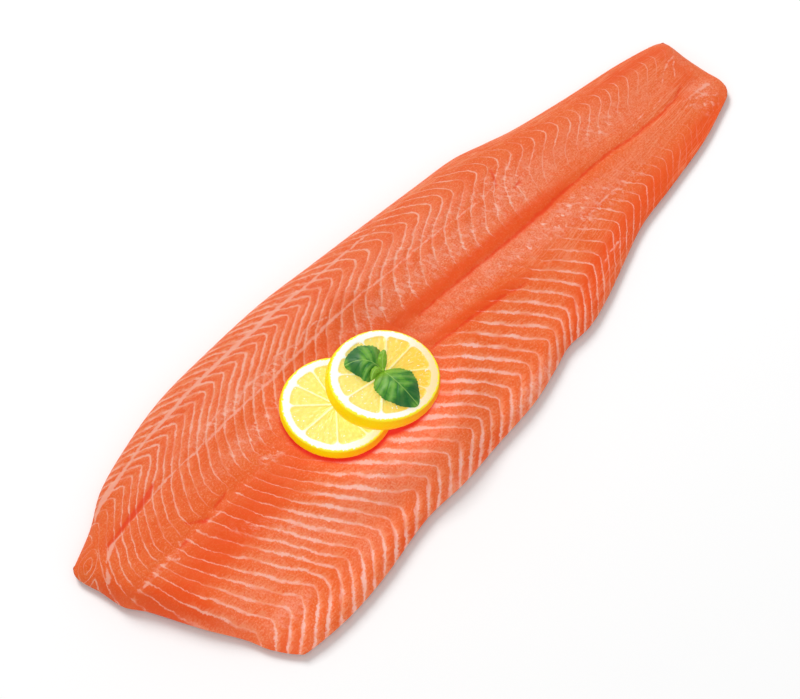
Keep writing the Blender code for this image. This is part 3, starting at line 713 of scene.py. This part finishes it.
def build_side(material):
    """The side of salmon: its flaky top, its rounded rim and the skin below."""
    places, faces, ring_count = side_plan()
    rings = [inset_ring(RIM, inset) for inset in RIM_INSETS[-2::-1]]
    turn = np.radians(np.linspace(90, 0, FOOT_ROWS + 1))[1:]
    for angle in turn:
        rings.append(inset_ring(RIM, FOOT_ROUND * (1 - math.sin(angle))))
    rings.append(inset_ring(RIM, 2 * FOOT_ROUND))
    first = len(places)
    upper = list(range(ring_count))
    for number in range(len(rings)):
        lower = ring_of(first, ring_count, number)
        faces += band(upper, lower)
        upper = lower
    faces.append(tuple(upper))
    page = np.vstack([places] + rings)
    x, y = page.T
    seam = wandering_seam(x, y)
    crease = stroke_distance(CREASE_STROKES, x, y)
    height = side_height(x, y, seam, crease)
    foot = len(RIM_INSETS) - 1
    for number, angle in enumerate(turn):
        rows = slice(first + (foot + number) * ring_count, first + (foot + number + 1) * ring_count)
        height[rows] = RIM_HEIGHT * (1 - math.cos(angle))
    height[first + (foot + FOOT_ROWS) * ring_count:] = 0.0
    thing = new_object("salmon_side_flesh", np.column_stack([page, height]), faces, material)
    give(thing, seam=seam, gap=seam_gap(x, y), fat=seam_width(x, y), crease=crease,
         white=stroke_distance(FAT_STROKES, x, y), deep=patches(DEEP_PATCHES, x, y),
         pale=patches(PALE_AND_SHEEN_PATCHES, x, y), fleck=patches(FLECK_AND_GLINT_PATCHES, x, y),
         strand=patches(STRAND_PATCHES, x, y), glow=slice_glow(x, y), high=height / MM,
         across=share_across(x, y), lean=seam_lean(x, y))
    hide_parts("salmon_side")
    return thing


class Surface:
    """A node material, with short calls for the nodes that it is made of."""

    def __init__(self, name, roughness, **settings):
        self.material = bpy.data.materials.new(name)
        self.material.use_nodes = True
        self.tree = self.material.node_tree
        self.shader = self.tree.nodes["Principled BSDF"]
        self.set(self.shader, {"Roughness": roughness, **settings})
        self.place = self.node("TexCoord").outputs["Object"]

    def set(self, node, values):
        """Link each named or numbered input, or set its own value."""
        for key, value in values.items():
            if isinstance(value, bpy.types.NodeSocket):
                self.tree.links.new(value, node.inputs[key])
            else:
                node.inputs[key].default_value = value

    def node(self, kind, values=None, **settings):
        """A new node with its settings and inputs."""
        made = self.tree.nodes.new("ShaderNode" + kind)
        for key, value in settings.items():
            setattr(made, key, value)
        self.set(made, values or {})
        return made

    def field(self, name):
        """A number kept on the mesh."""
        return self.node("Attribute", attribute_name=name).outputs["Fac"]

    def math(self, kind, a, b=0.0):
        """A Math node."""
        return self.node("Math", {0: a, 1: b}, operation=kind).outputs[0]

    def add(self, a, b):
        """a + b"""
        return self.math("ADD", a, b)

    def times(self, a, b):
        """a * b"""
        return self.math("MULTIPLY", a, b)

    def fade(self, value, low, high, bottom=0.0, top=1.0):
        """A smooth change from bottom at low to top at high."""
        return self.node("MapRange", {"Value": value, "From Min": low, "From Max": high,
                                                "To Min": bottom, "To Max": top},
                         interpolation_type="SMOOTHSTEP").outputs["Result"]

    def noise(self, scale, detail=2.0, roughness=0.5, vector=None):
        """A Noise Texture's value, about 0.5 on average."""
        return self.node("TexNoise",
                         {"Vector": vector or self.place, "Scale": scale, "Detail": detail,
                          "Roughness": roughness}).outputs["Fac"]

    def stretched(self, x, y, z, turn=0.0):
        """The place, turned about Z and then scaled along each axis."""
        turned = self.node("Mapping", {"Vector": self.place,
                                                 "Rotation": (0.0, 0.0, math.radians(turn))})
        return self.node("Mapping", {"Vector": turned.outputs["Vector"],
                                               "Scale": (x, y, z)}).outputs["Vector"]

    def mix(self, base, other, share):
        """One colour turning to another by a share from 0 to 1; fixed ones are 0 to 255."""
        base, other = (linear(*c) if isinstance(c, tuple) else c for c in (base, other))
        return self.node("Mix", {0: share, 6: base, 7: other},
                         data_type="RGBA").outputs[2]

    def bump(self, height, distance, strength):
        """Use the height, in units of the distance, as fine relief."""
        made = self.node("Bump", {"Height": height, "Distance": distance,
                                            "Strength": strength})
        self.tree.links.new(made.outputs["Normal"], self.shader.inputs["Normal"])


def linear(red, green, blue):
    """A colour given as 0 to 255, as Blender's linear colour."""
    shares = np.array([red, green, blue]) / 255.0
    values = np.where(shares <= 0.04045, shares / 12.92, ((shares + 0.055) / 1.055) ** 2.4)
    return (*(float(value) for value in values), 1.0)


def salmon_material():
    """Moist orange flesh with white seams, and grey skin low on the rim and below."""
    s = Surface("salmon_flesh", 0.5, **{"Specular IOR Level": 0.15, "Subsurface Weight": 0.2,
                                         "Subsurface Scale": 0.0015})
    gap = s.field("gap")
    fat = s.field("fat")
    ragged = s.add(s.noise(330.0, 3.0, 0.6), -0.5)
    tone = s.noise(70.0, 3.0)
    grain = s.noise(1.0, 3.0, 0.6, s.stretched(180.0, 900.0, 400.0, 4.0))
    mottle = s.noise(450.0, 4.0, 0.65)
    number = s.add(s.field("seam"), s.math("DIVIDE", s.times(ragged, 2.0), gap))
    phase = s.times(s.add(s.math("FRACT", s.add(number, 0.5)), -0.5), gap)
    away = s.math("ABSOLUTE", phase)
    swell = s.fade(s.noise(110.0, 2.0), 0.3, 0.7, 0.5, 1.35)
    stipple = s.noise(1000.0, 3.0, 0.7)
    speckle = s.times(s.add(stipple, -0.5), s.times(fat, 2.0))
    edge = s.add(s.math("SUBTRACT", away, s.times(s.times(fat, swell), 0.5)), speckle)
    broken = s.fade(s.noise(75.0, 3.0, 0.6), 0.34, 0.56, 0.25, 1.0)
    seam = s.times(s.fade(edge, -0.35, 0.3, 1.0, 0.0), s.fade(fat, 0.05, 0.55, 0.0, 0.95))
    seam = s.times(seam, broken)
    behind = s.fade(s.times(phase, s.field("lean")), -0.1, 0.2)
    feather = s.fade(away, 0.2, s.fade(grain, 0.35, 0.65, 1.2, 5.0), 1.0, 0.0)
    halo = s.times(s.times(behind, feather), s.fade(fat, 0.4, 1.6, 0.0, 0.9))
    near = s.mix((235, 104, 46), (237, 115, 62), s.fade(tone, 0.3, 0.7))
    far = s.mix((235, 97, 33), (237, 108, 48), s.fade(tone, 0.3, 0.7))
    flesh = s.mix(near, far, s.field("across"))
    flesh = s.mix(flesh, (240, 128, 78), s.times(s.fade(grain, 0.45, 0.75), 0.45))
    flesh = s.mix(flesh, (234, 82, 23), s.times(s.field("deep"), 0.9))
    rough = s.fade(s.field("deep"), 0.0, 0.8, 0.55, 0.15)
    flesh = s.mix(flesh, (234, 80, 26), s.times(s.fade(stipple, 0.5, 0.38), rough))
    flesh = s.mix(flesh, (244, 150, 114), s.times(s.fade(stipple, 0.53, 0.66), rough))
    cluster = s.add(s.times(stipple, 0.65), s.times(s.noise(190.0, 3.0), 0.35))
    # Pale patches: paler flesh, painted sheen and painted light
    soft = s.times(s.field("pale"), s.fade(cluster, 0.42, 0.6, 0.25, 1.0))
    flesh = s.mix(flesh, (244, 146, 114), s.times(soft, 0.9))
    flesh = s.mix(flesh, (243, 146, 104), halo)
    fat_colour = s.mix((246, 174, 154), (249, 192, 178), s.fade(fat, 1.2, 2.2))
    flesh = s.mix(flesh, fat_colour, seam)
    along = s.node("SeparateXYZ", {0: s.place}).outputs[0]
    fibre = s.node("CombineXYZ", {0: s.times(along, 34.0),
                                            1: s.times(s.field("across"), 62.0)})
    wisp = s.math("ABSOLUTE", s.add(s.noise(1.0, 2.0, 0.5, fibre.outputs[0]), -0.5))
    strand = s.times(s.fade(wisp, 0.004, 0.05, 1.0, 0.0), s.field("strand"))
    flesh = s.mix(flesh, (243, 144, 106), s.times(strand, 0.9))
    # Small white flecks, partly painted wet glints, mostly close to the seams
    specks = s.noise(1.0, 3.0, 0.6, s.stretched(480.0, 240.0, 300.0, -30.0))
    fleck = s.times(s.fade(specks, 0.5, 0.62), s.field("fleck"))
    close = s.fade(away, 0.3, 1.6, 1.0, 0.35)
    flesh = s.mix(flesh, (250, 188, 170), s.times(s.times(fleck, close), 0.95))
    band = s.fade(s.add(s.field("white"), s.times(ragged, 2.4)), -0.35, 0.55, 1.0, 0.0)
    flesh = s.mix(flesh, fat_colour, s.times(band, 0.8))
    # Painted shade: dark red in the creases and slits
    crease = s.fade(s.add(s.field("crease"), s.times(ragged, 2.0)), -0.4, 1.3, 1.0, 0.0)
    flesh = s.mix(flesh, (232, 62, 16), s.times(crease, 0.8))
    # Painted shadow: dark red on the flesh close round the slices, which throw no shadow in the
    # large light
    flesh = s.mix(flesh, (216, 38, 18), s.field("glow"))
    # Painted shade: the flesh is darkened towards the back edge, which faces the large light, so
    # that the side looks evenly lit
    level = s.mix((255, 255, 255), (229, 228, 220), s.field("across"))
    flesh = s.node("Mix", {0: 1.0, 6: flesh, 7: level}, data_type="RGBA",
                   blend_type="MULTIPLY").outputs[2]
    skin = s.fade(s.add(s.field("high"), s.times(ragged, 0.8)), 0.9, 1.4, 1.0, 0.0)
    scales = s.node("TexVoronoi", {"Vector": s.stretched(380.0, 560.0, 380.0)})
    grey = s.mix((92, 98, 104), (168, 174, 178), scales.outputs["Distance"])
    s.set(s.shader, {"Base Color": s.mix(flesh, grey, skin)})
    relief = s.add(s.times(mottle, 0.5), s.add(s.times(seam, 0.25), s.times(grain, 0.25)))
    s.bump(relief, 0.0004, 0.3)
    return s.material


def slice_point(shape, a, b, c):
    """Points of a slice: a across the tilt, b along it, c up from the top face."""
    tilt = math.radians(shape["tilt"])
    level = c - shape["sag"] * a * a
    x, y, z = shape["centre"]
    return np.column_stack([x + a * math.cos(tilt) + level * math.sin(tilt), y + b,
                            z - a * math.sin(tilt) + level * math.cos(tilt)])


def slice_radius(shape, angle):
    """The slice's radius at an angle in its own plane."""
    off = angle - math.radians(shape["turn"])
    return (shape["long"] * shape["short"]
            / np.hypot(shape["short"] * np.cos(off), shape["long"] * np.sin(off)))


def round_min(a, b, reach):
    """The lesser of the two, with a rounded turn between them."""
    near = np.maximum(reach - np.abs(a - b), 0.0) / reach
    return np.minimum(a, b) - near * near * reach / 4


def pulp_depth(shape, share, angle):
    """How deep in mm each point lies inside its segment, and the segment's number."""
    radius = share * slice_radius(shape, angle) / MM
    room = PULP_SHARE * slice_radius(shape, angle) / MM - radius
    room = room + END_WANDER * noise(angle, share * 0, 0.22, shape["seed"])
    cuts = np.sort(np.radians(np.array(shape["cuts"], dtype=float) % 360))
    turned = angle % (2 * math.pi)
    number = np.searchsorted(cuts, turned) % len(cuts)
    ahead = (cuts[number] - turned) % (2 * math.pi)
    behind = (turned - cuts[number - 1]) % (2 * math.pi)
    one = radius * np.sin(np.minimum(ahead, math.pi / 2)) - MEMBRANE
    two = radius * np.sin(np.minimum(behind, math.pi / 2)) - MEMBRANE
    walls = round_min(one, two, CORE_ROUND)
    return round_min(walls, room, CORNER_ROUND), number


def slice_rows():
    """Share of the radius, extra radius and height of each ring of a slice, top to bottom."""
    rows = [(share, 0.0, 0.0) for share in np.linspace(0.0, FINE_SHARE, PULP_ROWS + 1)[1:]]
    rim = np.linspace(FINE_SHARE, PITH_SHARE, RIM_ROWS + 1)[1:]
    rows += [(share, 0.0, 0.0) for share in rim]
    turn = np.linspace(0, math.pi / 2, CHAMFER_ROWS + 1)[1:]
    for angle in turn:
        rows.append((PITH_SHARE + (1 - PITH_SHARE) * math.sin(angle), 0.0,
                     -RIND_CHAMFER * (1 - math.cos(angle))))
    for t in np.linspace(0, 1, WALL_ROWS + 1)[1:]:
        height = -RIND_CHAMFER - (SLICE_THICK - 2 * RIND_CHAMFER) * t
        rows.append((1.0, RIND_BULGE * 4 * t * (1 - t), height))
    for angle in turn[-2::-1]:
        rows.append((PITH_SHARE + (1 - PITH_SHARE) * math.sin(angle), 0.0,
                     -SLICE_THICK + RIND_CHAMFER * (1 - math.cos(angle))))
    base = np.linspace(PITH_SHARE, 0.0, BASE_ROWS + 1)[:-1]
    rows += [(share, 0.0, -SLICE_THICK) for share in base]
    return rows


def build_slice(name, shape, material):
    """A lemon slice: segments of pulp between thin walls, pith and a pored rind."""
    rows = np.array(slice_rows())
    angles = round_angles(SLICE_AROUND)
    share = np.repeat(rows[:, 0], SLICE_AROUND)
    extra = np.repeat(rows[:, 1], SLICE_AROUND)
    height = np.repeat(rows[:, 2], SLICE_AROUND)
    angle = np.tile(angles, len(rows))
    share = np.append(share, [0.0, 0.0])
    extra = np.append(extra, [0.0, 0.0])
    height = np.append(height, [0.0, -SLICE_THICK])
    angle = np.append(angle, [0.0, 0.0])
    depth, number = pulp_depth(shape, share, angle)
    radius = share * slice_radius(shape, angle) + extra
    top = height > -RIND_CHAMFER / 2
    bump, size, laid = PULP_BUMPS
    vesicle = noise(radius, angle * laid, size, shape["seed"] + 5)
    sink = PULP_HOLLOW * soft_step(depth / 1.2) - bump * vesicle * soft_step(depth / 0.8)
    height = height - np.where(top, np.maximum(sink, 0.0), 0.0)
    pore, size, laid = RIND_PORES
    pores = noise(angle * laid, height, size, shape["seed"] + 6)
    radius = radius - np.where(share > 0.99, pore * (1 + pores), 0.0)
    points = slice_point(shape, radius * np.cos(angle), radius * np.sin(angle), height)
    faces = []
    around = SLICE_AROUND
    for row in range(len(rows) - 1):
        upper = row * around
        for k in range(around):
            k2 = (k + 1) % around
            faces.append((upper + k, upper + around + k, upper + around + k2, upper + k2))
    top_middle = len(rows) * around
    last = (len(rows) - 1) * around
    for k in range(around):
        k2 = (k + 1) % around
        faces.append((top_middle, k, k2))
        faces.append((top_middle + 1, last + k2, last + k))
    thing = new_object(f"{name}_flesh", points, faces, material)
    # How far each point lies towards the camera's right: the pulp and pith are made warmer that
    # way, and the rind darker orange as painted shade
    right = math.radians(CAMERA_AZIMUTH)
    across = radius * np.cos(angle) * math.cos(right) + radius * np.sin(angle) * math.sin(right)
    give(thing, pulp=depth, share=share, ray=radius / MM, turn=angle,
         segment=number, ripe=unit(0.5 + 0.5 * across / shape["long"]),
         low=-height / MM)
    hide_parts(name)
    return thing


def lemon_material(name, warmth):
    """Yellow rind with fine pores, white pith and translucent pulp with pale walls."""
    s = Surface(name, 0.34, **{"Subsurface Weight": 0.2, "Subsurface Scale": 0.003})
    ripe = s.field("ripe")
    depth = s.field("pulp")
    share = s.field("share")
    ragged = s.add(s.noise(600.0, 3.0, 0.6), -0.5)
    spoke = s.node("CombineXYZ", {0: s.times(s.field("ray"), 0.32),
                                            1: s.times(s.field("turn"), 16.0),
                                            2: s.times(s.field("segment"), 3.7)})
    sacs = s.noise(1.0, 3.0, 0.55, spoke.outputs[0])
    warm = s.fade(s.add(ripe, warmth), 0.35, 1.0)
    pulp = s.mix((255, 228, 116), (255, 204, 60), warm)
    pulp = s.mix(pulp, (255, 238, 170), s.times(s.fade(sacs, 0.5, 0.75), 0.7))
    pulp = s.mix(pulp, (252, 206, 100), s.times(s.fade(sacs, 0.5, 0.28), 0.35))
    # Painted glints: small white sparkles on the pulp
    glints = s.times(s.fade(s.noise(640.0, 1.0), 0.69, 0.73), s.fade(share, 0.45, 0.6))
    pulp = s.mix(pulp, (255, 255, 255), glints)
    wall = s.mix((255, 246, 196), (255, 232, 150), warm)
    pith = s.mix((253, 252, 244), (250, 218, 156), s.fade(ripe, 0.55, 1.0))
    pith = s.mix(wall, pith, s.fade(share, 0.7, 0.84))
    face = s.mix(pith, pulp, s.fade(s.add(depth, s.times(ragged, 0.7)), -0.15, 0.55))
    # Painted shade: the rind turns from yellow to darker orange towards the camera's right, the
    # side away from the large light
    rind = s.mix((255, 214, 0), (255, 156, 6), s.fade(ripe, 0.3, 0.9))
    zest = s.mix((252, 236, 50), rind, s.fade(s.field("low"), 0.2, 1.6))
    skin = s.fade(s.add(share, s.times(ragged, 0.1)), 0.945, 0.968)
    s.set(s.shader, {"Base Color": s.mix(face, zest, skin),
                     "Specular IOR Level": s.fade(skin, 0.0, 1.0, 0.35, 0.08)})
    pores = s.noise(900.0, 2.0)
    s.bump(s.add(s.times(sacs, 0.6), s.times(pores, 0.4)), 0.0002, 0.25)
    return s.material


def leaf_width(t):
    """The leaf's width along its rib, as a share of its widest."""
    power = math.log(0.5) / math.log(LEAF_WIDEST)
    swell = np.maximum(np.sin(math.pi * t ** power), 0.0) ** LEAF_FULLNESS
    return LEAF_END_WIDTH + (1 - LEAF_END_WIDTH) * swell


def leaf_points(leaf, t, u, down):
    """Points of a leaf in the slice's plane: t along the rib, u across, down below its face."""
    base, crest, tip = (np.array(leaf[key]) for key in ("base", "crest", "tip"))
    pull = 2 * crest - 0.5 * (base + tip)
    t1 = t[:, None]
    rib = base * (1 - t1) ** 2 + pull * 2 * t1 * (1 - t1) + tip * t1 * t1
    along = (pull - base) * (1 - t1) + (tip - pull) * t1
    right = np.column_stack([along[:, 1], -along[:, 0]])
    right /= np.hypot(along[:, 0], along[:, 1])[:, None]
    reach = np.where(u > 0, leaf["right"], leaf["left"])
    width = leaf_width(t)
    teeth = 1.0 - TOOTH_DEPTH * np.abs(u) ** 6 * (0.5 + 0.5 * np.sin(t * 2 * math.pi * TEETH))
    across = rib[:, :2] + right * (u * reach * width * teeth)[:, None]
    wave = LEAF_WAVE * np.sin(2 * math.pi * LEAF_WAVES * t) * np.abs(u) * width
    quilt = QUILT * (reach / 0.012) * width * (np.abs(np.sin(math.pi * vein_number(t, u))) ** 0.7)
    quilt = quilt * (1 - np.abs(u) ** 5) * soft_step(np.abs(u) / 0.12)
    height = rib[:, 2] - leaf["droop"] * u * u * width + wave
    height = np.maximum(height, GAP + LEAF_THICK) - QUILT * 0.6 + quilt
    return across[:, 0], across[:, 1], np.maximum(height, GAP + LEAF_THICK) - down


def vein_number(t, u):
    """A whole number on each side vein of the leaf."""
    return (t - VEIN_SWEEP * np.abs(u) * (1 - 0.35 * np.abs(u))) * VEINS + np.where(u > 0, 0.0, 0.4)


def build_sprig(material):
    """The basil sprig: four leaves on one short stem, each leaf a thin closed solid."""
    shape = SLICES["lemon_slice_upper"]
    points = []
    faces = []
    fields = dict(rib=[], vein=[], along=[], young=[])
    total = 0
    for order, leaf in enumerate(LEAVES):
        rows, columns = leaf["rows"]
        t, u = np.meshgrid(np.linspace(0, 1, rows + 1), np.linspace(-1, 1, columns + 1),
                           indexing="ij")
        t = t.ravel()
        u = u.ravel()
        count = len(t)
        row = columns + 1
        for down in (0.0, LEAF_THICK):
            points.append(slice_point(shape, *leaf_points(leaf, t, u, down)))
            reach = np.where(u > 0, leaf["right"], leaf["left"])
            fields["rib"].append(np.abs(u) * reach * leaf_width(t) / MM)
            fields["vein"].append(vein_number(t, u))
            fields["along"].append(t)
            fields["young"].append(np.full(count, 1.0 if order > 1 else 0.0))
        for i in range(rows):
            for j in range(columns):
                corner = total + i * row + j
                quad = (corner, corner + 1, corner + row + 1, corner + row)
                faces.append(quad)
                faces.append(tuple(count + v for v in reversed(quad)))
        rim = list(range(row)) + [i * row + columns for i in range(1, rows + 1)]
        rim += [rows * row + j for j in range(columns - 1, -1, -1)]
        rim += [i * row for i in range(rows - 1, 0, -1)]
        for one, two in zip(rim, rim[1:] + rim[:1]):
            faces.append((total + one, total + count + one, total + count + two, total + two))
        total += 2 * count
    stem_points, stem_faces = stem_mesh(shape, total)
    points.append(stem_points)
    faces += stem_faces
    for name, value in (("rib", 0.5), ("vein", 0.5), ("along", 0.0), ("young", 1.0)):
        fields[name].append(np.full(len(stem_points), value))
    thing = new_object("basil_sprig_leaves", np.vstack(points), faces, material, 70)
    give(thing, **{name: np.concatenate(values) for name, values in fields.items()})
    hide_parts("basil_sprig")
    return thing


def stem_mesh(shape, first):
    """The short upright stem that the leaves grow from."""
    a0, b0 = LEAVES[2]["base"][:2]
    angles = round_angles(STEM_SIDES)
    points = []
    for share, height in STEM_ROWS:
        points.append(slice_point(shape, a0 + STEM_RADIUS * share * np.cos(angles),
                                  b0 + STEM_RADIUS * share * np.sin(angles),
                                  np.full(STEM_SIDES, STEM_FOOT + height)))
    rings = [ring_of(first, STEM_SIDES, row) for row in range(len(STEM_ROWS))]
    faces = [tuple(rings[0]), tuple(rings[-1])]
    for upper, lower in zip(rings, rings[1:]):
        faces += band(upper, lower)
    return np.vstack(points), faces


def basil_material():
    """Satin green leaves with a pale rib, dark side veins and painted sheen, darker towards the
    tip.
    """
    s = Surface("basil_leaf", 0.45, **{"Subsurface Weight": 0.1, "Subsurface Scale": 0.0006,
                                       "Specular IOR Level": 0.3})
    rib = s.field("rib")
    phase = s.math("ABSOLUTE", s.add(s.math("FRACT", s.add(s.field("vein"), 0.5)), -0.5))
    along = s.field("along")
    blotch = s.noise(230.0, 3.0)
    fine = s.noise(1500.0, 2.0)
    leaf = s.mix((46, 120, 30), (96, 158, 44), s.fade(blotch, 0.35, 0.65))
    # Painted sheen: paler green on the bulges between the side veins
    leaf = s.mix(leaf, (142, 184, 88), s.times(s.fade(phase, 0.18, 0.5), 0.4))
    leaf = s.mix(leaf, (18, 92, 34), s.times(s.fade(phase, 0.13, 0.02), 0.5))
    tip = s.times(s.fade(along, 0.55, 0.7), s.fade(along, 0.98, 0.86))
    leaf = s.mix(leaf, (8, 88, 36), s.times(tip, 0.8))
    leaf = s.mix(leaf, (136, 178, 36), s.times(s.fade(along, 0.3, 0.02), 0.7))
    leaf = s.mix(leaf, (130, 180, 40), s.times(s.field("young"), 0.8))
    leaf = s.mix(leaf, (160, 196, 96), s.times(s.fade(rib, 0.26, 0.08), 0.7))
    s.set(s.shader, {"Base Color": leaf})
    s.bump(s.add(s.times(fine, 0.4), s.fade(phase, 0.0, 0.12)), 0.0002, 0.4)
    return s.material


def add_floor():
    """A plain white floor, which isn't part of the object."""
    size = FLOOR_HALF
    mesh = bpy.data.meshes.new("floor")
    corners = [(-size, -size, 0), (size, -size, 0), (size, size, 0), (-size, size, 0)]
    mesh.from_pydata(corners, [], [(0, 1, 2, 3)])
    floor = bpy.data.objects.new("floor", mesh)
    bpy.context.scene.collection.objects.link(floor)
    s = Surface("floor_white", 0.9, **{"Specular IOR Level": 0.0})
    s.set(s.shader, {"Base Color": (*[FLOOR_WHITE] * 3, 1.0)})
    mesh.materials.append(s.material)


def area_light(name, place, size, power):
    """A soft square light aimed at the middle of the side."""
    light = bpy.data.lights.new(name, "AREA")
    light.shape = "SQUARE"
    light.size = size
    light.energy = power
    thing = bpy.data.objects.new(name, light)
    thing.location = place
    thing.rotation_euler = (-Vector(place)).to_track_quat("-Z", "Y").to_euler()
    bpy.context.scene.collection.objects.link(thing)
    return thing


def add_lights(side, toppings):
    """An even white room, a large soft light from the back edge's side and a weak fill.

    As in the photograph, the slices and the sprig throw no shadow of their own in the
    large light, and the fill leaves the side's shadow on the floor alone.
    """
    world = bpy.data.worlds.new("white_room")
    world.use_nodes = True
    world.node_tree.nodes["Background"].inputs["Color"].default_value = (1.0, 1.0, 1.0, 1.0)
    world.node_tree.nodes["Background"].inputs["Strength"].default_value = WORLD_STRENGTH
    bpy.context.scene.world = world
    key = area_light("key", *KEY_LIGHT)
    key.light_linking.blocker_collection = bpy.data.collections.new("key_blockers")
    key.light_linking.blocker_collection.objects.link(side)
    fill = area_light("fill", *FILL_LIGHT)
    fill.light_linking.receiver_collection = bpy.data.collections.new("fill_receivers")
    for thing in [side] + toppings:
        fill.light_linking.receiver_collection.objects.link(thing)


def add_camera():
    """The photograph's view."""
    azimuth = math.radians(CAMERA_AZIMUTH)
    elevation = math.radians(CAMERA_ELEVATION)
    back = Vector((math.sin(azimuth) * math.cos(elevation),
                   -math.cos(azimuth) * math.cos(elevation), math.sin(elevation)))
    data = bpy.data.cameras.new("camera")
    data.lens = CAMERA_LENS
    camera = bpy.data.objects.new("camera", data)
    camera.location = Vector(CAMERA_TARGET) + back * CAMERA_DISTANCE
    camera.rotation_euler = back.to_track_quat("Z", "Y").to_euler()
    bpy.context.scene.collection.objects.link(camera)
    bpy.context.scene.camera = camera


def main():
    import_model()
    bpy.context.scene.view_settings.view_transform = "Standard"
    add_camera()
    side = build_side(salmon_material())
    toppings = [build_slice(name, shape, lemon_material(f"{name}_flesh", warmth))
                for (name, shape), warmth in zip(SLICES.items(), (-0.25, 0.1))]
    toppings.append(build_sprig(basil_material()))
    add_floor()
    add_lights(side, toppings)


main()
